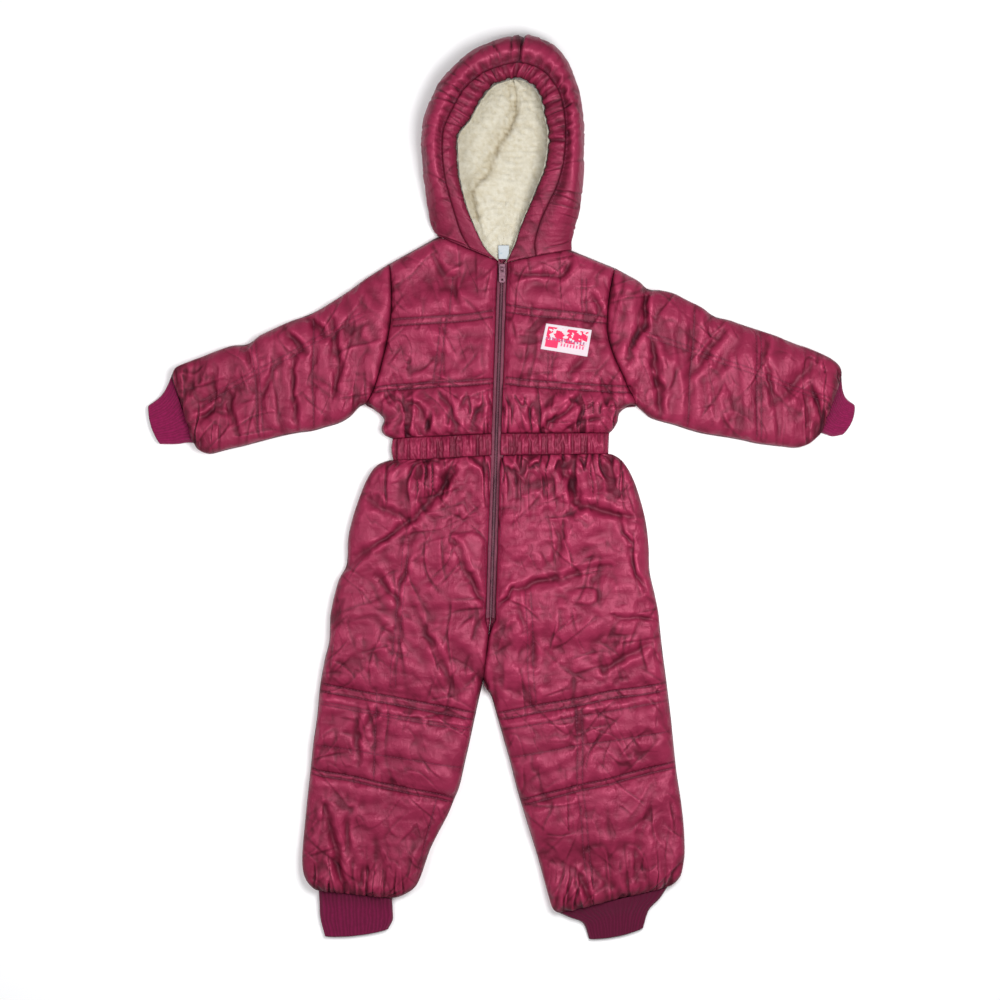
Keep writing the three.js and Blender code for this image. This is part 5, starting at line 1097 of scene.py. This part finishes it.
# Sleeves.
for side, word, table, bodice_table in (
    (-1, "right", RIGHT_SLEEVE, RIGHT_BODICE), (1, "left", LEFT_SLEEVE, LEFT_BODICE),
):
    plan = sleeve_plan(table, bodice_table, side, 2 * GRID)
    p, dark = front_surface(plan, SLEEVE_SEED + side, SLEEVE_SPARE, SLEEVE_RIPPLE)
    sides = ("first", "last")
    under = back_surface(sleeve_plan(table, bodice_table, side, BACK_STEP), SLEEVE_BACK_SEED)
    facing = [facing_of(p, 1), facing_of(under, -1)]
    shades = [joined_dark(sides, dark), np.zeros(under.shape[:2])]
    tops.append(shell_piece(f"sleeve_{word}", [skirt(p, sides), under], facing, shades, [p, under]))


def band_surface(side):
    """The elastic waistband: a casing whose cloth is much longer than the elastic in it."""
    outer = spline(np.array(BAND_ENDS[side], float), np.linspace(0, 2, BAND_ROWS))
    y = np.linspace(BAND_FOOT[1], BAND_TOP[1], BAND_ROWS)
    inner = np.stack([front_edge(side, y), y], -1)
    s = np.linspace(0, 1, BAND_COLUMNS)[None, :, None]
    plan = outer[:, None] * (1 - s) + inner[:, None] * s
    across = np.sin(np.pi * np.linspace(0, 1, BAND_ROWS))[:, None]

    def height(p):
        rise = rounded(distance(p, SIDE_LINES), 12)
        zipped = thinned(np.maximum(0, distance(p, [ZIP_LINE]) - ZIP_HALF), *AT_BAND_ZIP)
        return SEAM_Z + GAP + (BAND_CREST_Z - SEAM_Z) * rise * zipped

    base = lift(plan, height)
    x, y = plan[..., 0], plan[..., 1]
    bent = x + 2 * noise(x, y, 12, 5)
    pleats = noise(x, 0.1 * y, 3.6, 7) + 0.8 * noise(bent, 0.2 * y, 8.0, 9) + 0.3 * noise(x, y, 6, 8)
    inside = rounded(distance(plan.reshape(-1, 2), SIDE_LINES), 8).reshape(x.shape)
    base[..., 2] += (1.7 * across + 1.25 * pleats * (0.55 + 0.45 * across)) * inside
    held = edge_mask(x.shape, ("first", "last", "left", "right"))
    sign = np.sign(normals_of(base)[..., 2].sum())
    spare = (np.full(x.shape, 0.02), np.full(x.shape, 0.10))
    start = 0.3 * layered(x, y, 8, 91 + side)
    p = finer(slack(base, start, sign, spare, held, ROUNDS // 2, BAND_WADDING, (LIGHT, LIGHT)))
    pleat = finer(pleats[..., None])[..., 0]
    # Painted shade: in the band's creases and darker all over, with a painted highlight on the pleats' crests.
    return p, np.clip(0.6 * painted_hollow_shade(p) + 0.24 - 0.13 * pleat, 0, 1)


def two_stretches(corners):
    """Points along the two straight stretches between three corners."""
    first, middle, last = corners
    return np.concatenate([np.linspace(first, middle, 30), np.linspace(middle, last, 30)[1:]])


# Waistband.
for side, word in ((-1, "right"), (1, "left")):
    p, dark = band_surface(side)
    sides = ("first", "last", "right")
    front_panel(f"waistband_front_{word}", p, dark, sides)
s = np.linspace(0, 1, 9)[:, None, None]
back_panel("waistband_back", [two_stretches(BAND_LOW)[None] * (1 - s) + two_stretches(BAND_HIGH)[None] * s])


def cuff_piece(name):
    """A ribbed cuff: ribs on both faces, the hem turned in."""
    bulge, shade, sections = CUFFS[name]
    table = np.array(sections, float)
    places = even_places((table[:, :2] + table[:, 2:]) / 2, 1.5)
    rows = spline(table, places)
    middle = (rows[:, :2] + rows[:, 2:]) / 2
    ahead = middle[-1] - middle[-2]
    ahead = ahead / np.linalg.norm(ahead)
    s = np.linspace(0, 1, RIBS * RIB_POINTS + 1)
    place = places / places[-1]
    plan = rows[:, None, :2] * (1 - s[None, :, None]) + rows[:, None, 2:] * s[None, :, None]
    plan = plan + (bulge * 4 * s * (1 - s))[None, :, None] * (place**3)[:, None, None] * ahead
    width = np.linalg.norm(rows[:, 2:] - rows[:, :2], axis=1)[:, None]
    rise = rounded(np.minimum(s, 1 - s)[None] * width, 5)
    wander = 0.25 * noise(s[None] * 40 + 0 * width, place[:, None] * 9, 2.0, 3)
    rib = np.sin(2 * np.pi * (RIBS * s[None] + wander)) * 0.5 + 0.5
    slope = place[:, None] ** 1.3
    top = CUFF_TOP_Z + (SEAM_Z - CUFF_TOP_Z) * slope + 0.5 * layered(plan[..., 0], plan[..., 1], 22, 4)
    hem = np.clip((1 - place[:, None]) * 30 / 3.0, 0, 1)
    ribbing = 0.8 * (rib**0.7) * (0.4 + 0.6 * hem)
    z_top = CUFF_SIDE_Z + (top - 1.0 - CUFF_SIDE_Z) * rise + ribbing * rise
    z_low = CUFF_SIDE_Z * (1 - rise) + 0.5 * (1 - rib) * rise
    upper = np.concatenate([plan, z_top[..., None]], 2)
    lower = np.concatenate([plan, z_low[..., None]], 2)[:, ::-1][:, 1:-1]
    ring = np.concatenate([upper, lower], 1)
    # Painted shade between the ribs and under the padded hem, and more next to the hem.
    dark_top = (1 - rib) * 0.28 + shade
    dark_top = dark_top + 0.3 * bell(place[:, None], 0.25)
    dark = np.clip(np.concatenate([dark_top, dark_top[:, ::-1][:, 1:-1]], 1), 0, 1)
    inner = ring[::-1][:HEM_ROWS] * 1.0
    centre = ring.mean(1, keepdims=True)[::-1][:HEM_ROWS, :, :2]
    inner[..., :2] = centre + (inner[..., :2] - centre) * HEM_SHARE
    count = upper.shape[1]
    inner[:, :count, 2] = np.maximum(inner[:, :count, 2] - KNIT, 4.4)
    inner[:, count:, 2] = inner[:, count:, 2] + KNIT
    ring = np.concatenate([ring, inner])
    # The turned-in hem gets painted shade.
    dark = np.concatenate([dark, np.full(inner.shape[:2], 0.6)])
    u = np.arange(ring.shape[1])[None, :] * (2 * width.mean() / ring.shape[1])
    v = np.concatenate([place * KNIT_LENGTH, KNIT_LENGTH + np.arange(HEM_ROWS) * 1.5])[:, None]
    uv = np.stack(np.broadcast_arrays(u, v), -1)
    obj = mesh_piece(f"{name}_knit", name, [ring], [facing_of(upper, 1)], RIB, [dark], [uv], wrap=True)
    declare([np.concatenate([ring, ring[:, :1]], 1)])


for cuff in CUFFS:
    cuff_piece(cuff)


def hood_rise(t):
    """How far the hood has risen from the neck at some places round its opening, from 0 to 1."""
    return eased(np.clip(np.minimum(t, HOOD_END - t) / 5.5, 0, 1))


def hood_section(t):
    """Points of the opening, the casing's seam, the outer edge and the back seam at places round the hood."""
    row = spline(np.array(HOOD, float), t)
    climb = np.where(t <= CROWN, t / CROWN, (HOOD_END - t) / (HOOD_END - CROWN))[:, None]
    row = row - HOOD_DRAWN_IN * hood_rise(t)[:, None] * row
    row[:, 0] += 3.2 * bell(t - 17.5, 3.6)
    return row[:, :2], row[:, 2:4], row[:, 4:], NAPE * (1 - climb) + CROWN_BACK * climb


def hood_grid(t, k):
    """Points of the hood: t counts sections round the opening, and k the rows of its rolled section."""
    opening, seam, edge, back = hood_section(t)
    ends = ((opening, seam), (seam, edge), (edge, back))
    rise = hood_rise(t)
    rows = []
    for stretch, share, inset, neck, full in HOOD_PROFILE:
        a, b = ends[stretch]
        p = a + (b - a) * share
        if inset:
            room = np.linalg.norm(back - p, axis=1)
            p = p + (back - p) * (np.minimum(inset, 0.45 * room) / np.maximum(room, 1e-6))[:, None]
        rows.append(np.concatenate([p, (neck + (full - neck) * rise)[:, None]], 1))
    return spline(np.stack(rows), k).swapaxes(0, 1)


def hood_places(first, last, step):
    seam = np.array(HOOD, float)[first:last + 1, 2:4]
    return first + even_places(seam, step)


def half_places(side, step):
    return hood_places(0, CROWN, step) if side < 0 else hood_places(CROWN, HOOD_END, step)


def gathered(base, pleat, spare, held, drawn):
    """Gathers a surface along its rows: pleats as a start, then slack cloth that is held at its stitches.
    drawn is how hard each row is gathered."""
    sign = np.sign(normals_of(base)[:, : base.shape[1] // 2, 2].sum())
    spares = (spare + 0 * held, 0.02 + 0 * held)
    p = finer(slack(base, pleat, sign, spares, held, ROUNDS // 2, HOOD_WADDING, (ROLLED, ROLLED)))
    relief, line = creased(p[..., 0], p[..., 1], 97, 0, 0, 0.5)
    along, across = np.meshgrid(np.arange(p.shape[0]) * 1.1, np.arange(p.shape[1]) * 1.1, indexing="ij")
    drawn = np.interp(np.linspace(0, 1, p.shape[0]), np.linspace(0, 1, len(drawn)), drawn)[:, None]
    for size in (10, 17):
        height, dark = crease_lines(along, across, size, 31 + size, 1.0, 0.22)
        relief, line = relief + 1.7 * drawn * height, line + drawn * dark
    p += normals_of(p) * (1.2 * sign * relief)[..., None]
    # Painted shade: in creases and along the crease lines, and darker all over the hood.
    return p, np.clip(painted_hollow_shade(p) + 0.1 + 0.3 * line, 0, 1)


def to_seam(p, t, column):
    """Brings a gathered edge back to the casing's seam and eases the cloth beside it."""
    places = np.interp(np.linspace(0, 1, len(p)), np.linspace(0, 1, len(t)), t)
    pull = hood_grid(places, np.array([float(CASING_ROW)]))[:, :1] - p[:, column:column + 1]
    return p + pull * np.exp(-np.abs(np.arange(p.shape[1]) - column) / 2.0)[None, :, None]


def lip(edge):
    """The raw edge of a hood piece, turned down, and the painted shade on it."""
    low = edge.copy()
    low[..., 2] -= HOOD_LIP
    return low, np.full(edge.shape[:2], LIP_SHADE)


def casing():
    """The gathered casing round the face, with its edge turned in to the lining."""
    t = hood_places(0, HOOD_END, 2.0)
    k = np.linspace(0, CASING_ROW, 9)
    base = hood_grid(t, k)
    along = np.arange(len(t)) * 2.0
    rise = 0.35 + 0.65 * hood_rise(t)
    crown = bell(t - CROWN - 1.0, 4.6)
    lean = along[:, None] + (2.5 * noise(along, 0 * along, 25, 4))[:, None] * k[None]
    wave = noise(lean, 0 * lean + 3, 8.5, 5) + 0.7 * noise(lean, 0.25 * k[None] * 9 + 0 * lean, 13.0, 8)
    across = np.sin(np.pi * np.clip(k / 3, 0, 1)) ** 0.5
    pleat = 2.4 * (rise * (0.3 + 0.7 * crown))[:, None] * wave * (0.35 + 0.65 * across)[None]
    held = edge_mask(base.shape[:2], ("first", "last", "right")) * 0.97
    held[:, 0] = 0.6
    p, dark = gathered(base, pleat, 0.012 + 0.13 * (rise * crown)[:, None], held, 0.3 + 0.7 * crown)
    p = to_seam(p, t, p.shape[1] - 1)
    inner = hood_grid(np.linspace(0, HOOD_END, p.shape[0]), np.array([0.0, 0.5, 1.0]))
    drop = normals_of(inner) * np.sign(normals_of(base)[..., 2].sum())
    edge = p[:, :1]
    turned_in = [
        inner[:, 1:2] - drop[:, 1:2] * 4.2,
        inner[:, :1] - drop[:, :1] * 3.4,
        edge + drop[:, :1] * -1.6 + (edge - p[:, 1:2]) * 0.35,
    ]
    # Painted shade by the casing's seam.
    dark = np.clip(dark + 0.15 * bell(np.linspace(3, 0, dark.shape[1]), 0.3)[None], 0, 1)
    low, low_dark = lip(p[:, -1:])
    p = np.concatenate(turned_in + [p, low], 1)
    # The turned-in edge gets painted shade, and the lip its own.
    dark = np.concatenate([np.full((len(dark), len(turned_in)), 0.55), dark, low_dark], 1)
    tops.append(shell_piece("hood_casing", [p], [facing_of(p, 1)], [dark], [p]))


def hood_half(side, word):
    """One outer half of the hood, rolled over its stiff edge and under to the back seam."""
    t = half_places(side, GRID)
    k = np.concatenate([np.linspace(CASING_ROW, ROLL_ROW, 8), np.linspace(ROLL_ROW, FLOOR_ROW, 12)[1:]])
    base = hood_grid(t, k)
    base[..., 0] += side * 0.2 * np.exp(-((t - CROWN) ** 2))[:, None]
    along = np.arange(len(t)) * GRID
    rise = hood_rise(t)
    crown = np.clip(np.abs(t - CROWN) / 0.7, 0, 1)
    fade = np.clip(1.1 - (k - 3) / 4.2, 0, 1)
    drawn = 0.25 + 0.75 * bell(t - CROWN - 0.8, 4.2)
    lean = along[:, None] + (4.0 * noise(along, 0 * along, 30, 24))[:, None] * (k - 3)[None]
    wave = noise(lean, 0 * lean + side, 10.0, 25) + 0.8 * noise(lean, 0.4 * k[None] * 9 + 0 * lean, 16.0, 28)
    pleat = 3.0 * (rise * drawn * (0.3 + 0.7 * crown))[:, None] * wave * fade[None]
    pleat += 2.2 * layered(base[..., 0], base[..., 1] + base[..., 2], 34, 51 + side, 2)
    held = edge_mask(base.shape[:2], ("first", "last", "left", "right")) * 0.97
    held[-1 if side < 0 else 0] = 0.55
    groove = 0.4 * (1 - crown) ** 2
    base[..., 2] -= groove[:, None] * np.clip(1.4 - np.abs(k - 5.5) / 3.5, 0, 1)[None]
    spare = 0.014 + 0.15 * fade[None] * (rise * (drawn - 0.2))[:, None]
    p, dark = gathered(base, pleat, spare, held, 0.35 + 0.65 * drawn)
    p = to_seam(p, t, 0)
    # Painted shade by the casing's seam and along the crown seam's groove.
    at_seam = 0.15 * bell(np.arange(dark.shape[1]), 1.3)[None]
    at_crown = bell(np.linspace(t[0], t[-1], len(dark)) - CROWN, 0.12)[:, None]
    dark = np.clip(dark + at_seam + 0.4 * at_crown, 0, 1)
    low, low_dark = lip(p[:, :1])
    p, dark = np.concatenate([low, p], 1), np.concatenate([low_dark, dark], 1)
    rows = np.concatenate([[FLOOR_ROW], np.linspace(FLOOR_ROW + 0.3, BACK_ROW, 12)])
    under = hood_grid(np.linspace(t[0], t[-1], 40), rows)
    under[..., 2] = np.maximum(under[..., 2], 0)
    under[:, -1, 0] += side * GAP
    facing = [facing_of(p[:, : p.shape[1] // 2], 1), facing_of(under, -1)]
    shades = [dark, np.zeros(under.shape[:2])]
    tops.append(shell_piece(f"hood_{word}", [p, under], facing, shades, [p, under]))


def lining_fold(flat):
    """Height that the lining's fold gives to each point, and the painted shadow along it."""
    line = dense(LINING_FOLD, 5.0)
    best = np.full(len(flat), 1e9)
    turn = np.ones(len(flat))
    for a, b in zip(line[:-1], line[1:]):
        d, _, sign = to_segment(flat, a, b)
        turn = np.where(d < best, sign, turn)
        best = np.minimum(best, d)
    signed = best * np.where(turn == 0, 1, turn)
    trough = bell(signed, 3.0)
    ridge = 6.5 * bell(np.maximum(signed, 0) - 5.0, 9.0) * (1 - trough * 0.6)
    ridge = np.where(signed > 0, ridge, 1.6 * bell(signed, 11.0) * (1 - trough))
    return ridge, 0.6 * bell(signed, 2.2) + 0.5 * bell(signed + 4, 8)


def lining_half(side, word):
    """One half of the pile lining: down from the casing and over the hood's floor, with its fold and tufts."""
    t = half_places(side, LINING_STEP)
    opening, seam, edge, back = hood_section(t)
    rise = hood_rise(t)[:, None]
    out = seam - opening
    out = out / np.linalg.norm(out, axis=1, keepdims=True)
    rows = []
    for reach, share, neck, more in LINING_ROWS:
        place = opening * share + back * (1 - share) + out * reach
        rows.append(np.concatenate([place, neck + more * rise], 1))
    k = np.linspace(0, len(LINING_ROWS) - 1, LINING_COLUMNS)
    grid = spline(np.stack(rows), k).swapaxes(0, 1)
    shape = grid.shape[:2]
    flat = grid[..., :2].reshape(-1, 2)
    ridge, crease = lining_fold(flat)
    swell = 1.6 * layered(flat[:, 0], flat[:, 1], 30, 61)
    on_floor = np.repeat(np.clip((k - 3.2) / 1.2, 0, 1)[None], len(t), 0).reshape(-1)
    z = grid[..., 2].reshape(-1) + (0.8 * ridge + swell) * on_floor
    x, y = flat[:, 0] + 0.6 * z, flat[:, 1] + 0.4 * z
    tuft = np.abs(noise(x, y, 6.2, 3)) + 0.6 * np.abs(noise(x + 9, y, 3.7, 4)) + 0.3 * noise(x, y, 2.1, 5)
    grid[..., 2] = (z + 1.9 * tuft).reshape(shape)
    sideways = 0.7 * noise(x, y, 4.5, 6).reshape(shape)
    grid[1:-1, 1:-1, 0] += sideways[1:-1, 1:-1]
    grid[:, -1, 0] -= side * 0.3
    # Painted shade: lighter on the tufts' tips as a painted highlight, and the fold's painted shadow on the
    # floor.
    dark = np.clip(0.34 - 0.45 * tuft + 0.7 * (crease * on_floor), 0, 1).reshape(shape)
    obj = mesh_piece(
        f"hood_lining_{word}_pile", f"hood_lining_{word}", [grid], [facing_of(grid, 1)], PILE, [dark],
    )
    declare([grid])


# Hood.
casing()
for side, word in ((-1, "right"), (1, "left")):
    hood_half(side, word)
    lining_half(side, word)


def landing(objects):
    """The faces of some pieces, to set others down on."""
    verts, faces, start = [], [], 0
    for obj in objects:
        mesh = obj.data
        co = np.empty(len(mesh.vertices) * 3, np.float32)
        mesh.vertices.foreach_get("co", co)
        place = np.array(obj.matrix_world)
        co = co.reshape(-1, 3) @ place[:3, :3].T + place[:3, 3]
        verts.append(co)
        faces += [[v + start for v in p.vertices] for p in mesh.polygons]
        start += len(co)
    return BVHTree.FromPolygons(np.concatenate(verts).tolist(), faces)


bpy.context.view_layer.update()
GROUND = landing(tops)


def height_at(x, y, missing=SEAM_Z):
    """Height of the pieces already made under a place of the tables."""
    point = Vector(((x + SHIFT[0]) * MM, (y + SHIFT[1]) * MM, 0.2))
    hit = GROUND.ray_cast(point, Vector((0, 0, -1)))[0]
    return hit.z / MM if hit is not None else missing


def capsules(name, node, pairs, radius, finish):
    """Short round bars between pairs of points, as one piece."""
    pairs = np.asarray(pairs, float)
    a, b = pairs[:, 0], pairs[:, 1]
    d = b - a
    d = d / np.linalg.norm(d, axis=1, keepdims=True)
    across = np.cross(d, np.array([0.0, 0.0, 1.0]))
    across /= np.maximum(np.linalg.norm(across, axis=1, keepdims=True), 1e-9)
    up = np.cross(across, d)
    angle = np.linspace(0, 2 * np.pi, BAR_SIDES, endpoint=False)
    grid = []
    for share, wide in BAR_RINGS:
        at = a + d * (radius * (0.0 if share > 0 else -0.8)) + (b - a) * np.clip(share, 0, 1)
        at = at + d * (radius * 0.8 if share > 1 else 0.0)
        turned = np.cos(angle)[None, :, None] * across[:, None] + np.sin(angle)[None, :, None] * up[:, None]
        grid.append(at[:, None] + radius * wide * turned)
    here = np.arange(BAR_SIDES)
    ahead = (here + 1) % BAR_SIDES
    rings = len(BAR_RINGS)
    one = []
    for low, high in ((r * BAR_SIDES, (r + 1) * BAR_SIDES) for r in range(rings - 1)):
        one.append(np.stack([low + here, low + ahead, high + ahead, high + here], 1))
    starts = np.arange(len(pairs)) * rings * BAR_SIDES
    faces = (np.concatenate(one)[None] + starts[:, None, None]).reshape(-1, 4).tolist()
    for start in starts.tolist():
        faces.append(list(range(start, start + BAR_SIDES))[::-1])
        faces.append(list(range(start + (rings - 1) * BAR_SIDES, start + rings * BAR_SIDES)))
    new_piece(name, node, np.stack(grid, 1).reshape(-1, 3), faces, finish)


def stitch_row(points):
    """Stitches along a line, set down on the cloth."""
    points = dense(points, 3.0)
    along = np.concatenate([[0], np.cumsum(np.linalg.norm(np.diff(points, axis=0), axis=1))])
    pairs = []
    for start in np.arange(0.8, along[-1] - STITCH, STITCH_PITCH):
        ends = []
        for at in (start, start + STITCH):
            x, y = np.interp(at, along, points[:, 0]), np.interp(at, along, points[:, 1])
            z = height_at(x, y, None)
            if z is not None:
                ends.append((x, y, z + THREAD_LIFT))
        if len(ends) == 2 and abs(ends[0][2] - ends[1][2]) < STITCH_CLIMB:
            pairs.append(ends)
    return pairs


def quilting_lines():
    lines = []
    for x0, y0, x1, y1, spacing, _ in QUILTING:
        a, b = np.array([x0, y0], float), np.array([x1, y1], float)
        s = np.linspace(0.01, 0.99, max(4, int(np.linalg.norm(b - a) / 8)))[:, None]
        line = a * (1 - s) + b * s
        wave = quilting_wander(line, x0, y0)
        square = np.array([a[1] - b[1], b[0] - a[0]]) / np.linalg.norm(b - a)
        for off in ((-spacing / 2, spacing / 2) if spacing else (0,)):
            lines.append(line + square * (off - wave[:, None]))
    return lines


def zip_lines():
    """Stitched rows beside the zip, on both sides and over both stretches."""
    lines = []
    for side in (-1, 1):
        for low, high in ZIP_STRETCHES:
            y = np.linspace(low, high, 30)
            lines.append(np.stack([centre_x(y) + side * (ZIP_HALF + ZIP_ROW), y], -1))
    return lines


# Stitching.
hood_line = hood_grid(np.linspace(*HOOD_ROW_ENDS, 160), np.array([HOOD_ROW]))[:, 0, :2]
stitches = []
for line in quilting_lines() + zip_lines() + [hood_line]:
    stitches += stitch_row(line)
capsules("stitching", None, stitches, THREAD_RADIUS, THREAD)


# Zip.
def tape_piece(word, low, high):
    """One tape, from its edge at the coil to its edge under the front."""
    y = np.linspace(TAPE_LOW, TAPE_HIGH, 220)
    s = np.linspace(0, 1, 7)
    x = centre_x(y)[:, None] + low + (high - low) * s[None]
    ridge = 0.12 * np.sin(s * 2 * np.pi * 3)[None] + 0.1 * np.sin(y * 4.1)[:, None]
    z = TAPE_Z + ridge + 0 * x
    grid = np.stack([x, y[:, None] + 0 * x, z], -1)
    down = [0, 0, TAPE_EDGE]
    grid = np.concatenate([grid[:, :1] - down, grid, grid[:, -1:] - down], 1)
    facing = [facing_of(grid[:, 1:-1], 1)]
    obj = mesh_piece(f"zip_tape_{word}_web", f"zip_tape_{word}", [grid], facing, TAPE)
    declare([grid])


tape_piece("right", -ZIP_HALF - TAPE_UNDER, -TAPE_INNER)
tape_piece("left", TAPE_INNER, ZIP_HALF + TAPE_UNDER)
loops = []
for i, y in enumerate(np.arange(COIL_LOW, COIL_HIGH, COIL_PITCH)):
    x = float(centre_x(y))
    way = 1 if i % 2 else -1
    loops.append([(x + way * 1.75, y, 13.1), (x - way * 0.45, y + 0.25, 13.9)])
capsules("zip_coil_loops", "zip_coil", loops, COIL_RADIUS, COIL)
METAL = metal_look()
for node in ("zip_slider", "zip_pull"):
    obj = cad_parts[node]
    obj.data.materials.clear()
    obj.data.materials.append(METAL)
    bevel = obj.modifiers.new("rounding", "BEVEL")
    bevel.width = 0.25 * MM
    bevel.segments = 3
    bevel.limit_method = "ANGLE"


# Labels.
def label_piece(node, corners, rows, columns, lift_by, material, floor=None):
    """A woven label laid on the cloth, or at a height of its own, its border folded under."""
    tl, tr, br, bl = (np.array(c, float) for c in corners)
    v, u = np.linspace(0, 1, rows)[:, None, None], np.linspace(0, 1, columns)[None, :, None]
    plan = (bl * (1 - u) + br * u) * (1 - v) + (tl * (1 - u) + tr * u) * v
    if floor is None:
        z = np.array([[height_at(*point) for point in row] for row in plan])
    else:
        z = np.full((rows, columns), floor)
    for _ in range(3):
        wide = np.pad(z, 1, mode="edge")
        mean = (wide[:-2, 1:-1] + wide[2:, 1:-1] + wide[1:-1, :-2] + wide[1:-1, 2:]) / 4
        z = np.maximum(0.4 * z + 0.6 * mean, mean - 0.1)
    rim = np.minimum(np.minimum(u, 1 - u), np.minimum(v, 1 - v))[..., 0]
    z = z + lift_by + 0.25 * (rim < 0.09)
    grid = np.concatenate([plan, z[..., None]], 2)
    uv = np.stack(np.broadcast_arrays(u[..., 0], v[..., 0]), -1)
    down = np.array([0, 0, lift_by + 0.7])
    grid = np.concatenate([grid[:1] - down, grid, grid[-1:] - down])
    grid = np.concatenate([grid[:, :1] - down, grid, grid[:, -1:] - down], 1)
    uv = np.pad(uv, ((1, 1), (1, 1), (0, 0)), mode="edge")
    obj = mesh_piece(f"{node}_woven", node, [grid], [facing_of(grid, 1)], ("label", material), None, [uv])
    declare([grid])


label_piece("chest_label", CHEST_LABEL, 40, 60, 0.7, label_look())
label_piece("neck_label", NECK_LABEL, 12, 12, 0.2, plain_label_look(), NECK_LABEL_Z)


# Floor, light and camera. Their places and sizes are metres.
bpy.ops.mesh.primitive_plane_add(size=6, location=(0, 0, 0))
floor = bpy.context.object
floor.name = "floor"
floor.data.materials.append(Look("pale_floor", (0.93, 0.93, 0.94), 0.9, Specular_IOR_Level=0.05).mat)
world = bpy.data.worlds.new("white_room")
bpy.context.scene.world = world
world.use_nodes = True
background = world.node_tree.nodes["Background"]
background.inputs["Color"].default_value = (1.0, 1.0, 1.0, 1)
background.inputs["Strength"].default_value = 0.44


def softbox(name, place, size, power):
    """A soft light that shines at the middle of the garment."""
    light = bpy.data.lights.new(name, "AREA")
    light.shape = "RECTANGLE"
    light.size, light.size_y = size
    light.energy = power
    obj = bpy.data.objects.new(name, light)
    obj.location = place
    obj.rotation_euler = (-Vector(place)).to_track_quat("-Z", "Y").to_euler()
    bpy.context.scene.collection.objects.link(obj)


softbox("key", (0.30, 0.05, 0.98), (0.5, 0.45), 11.3)
softbox("fill", (-0.75, 0.0, 1.3), (0.7, 0.7), 8)
camera = bpy.data.cameras.new("camera")
camera.lens = 80
camera.sensor_width = 36
camera.clip_end = 50
view = bpy.data.objects.new("camera", camera)
view.location = (-0.0016, -0.0141, 2.4594)
bpy.context.scene.collection.objects.link(view)
bpy.context.scene.camera = view
bpy.context.scene.view_settings.view_transform = "Standard"
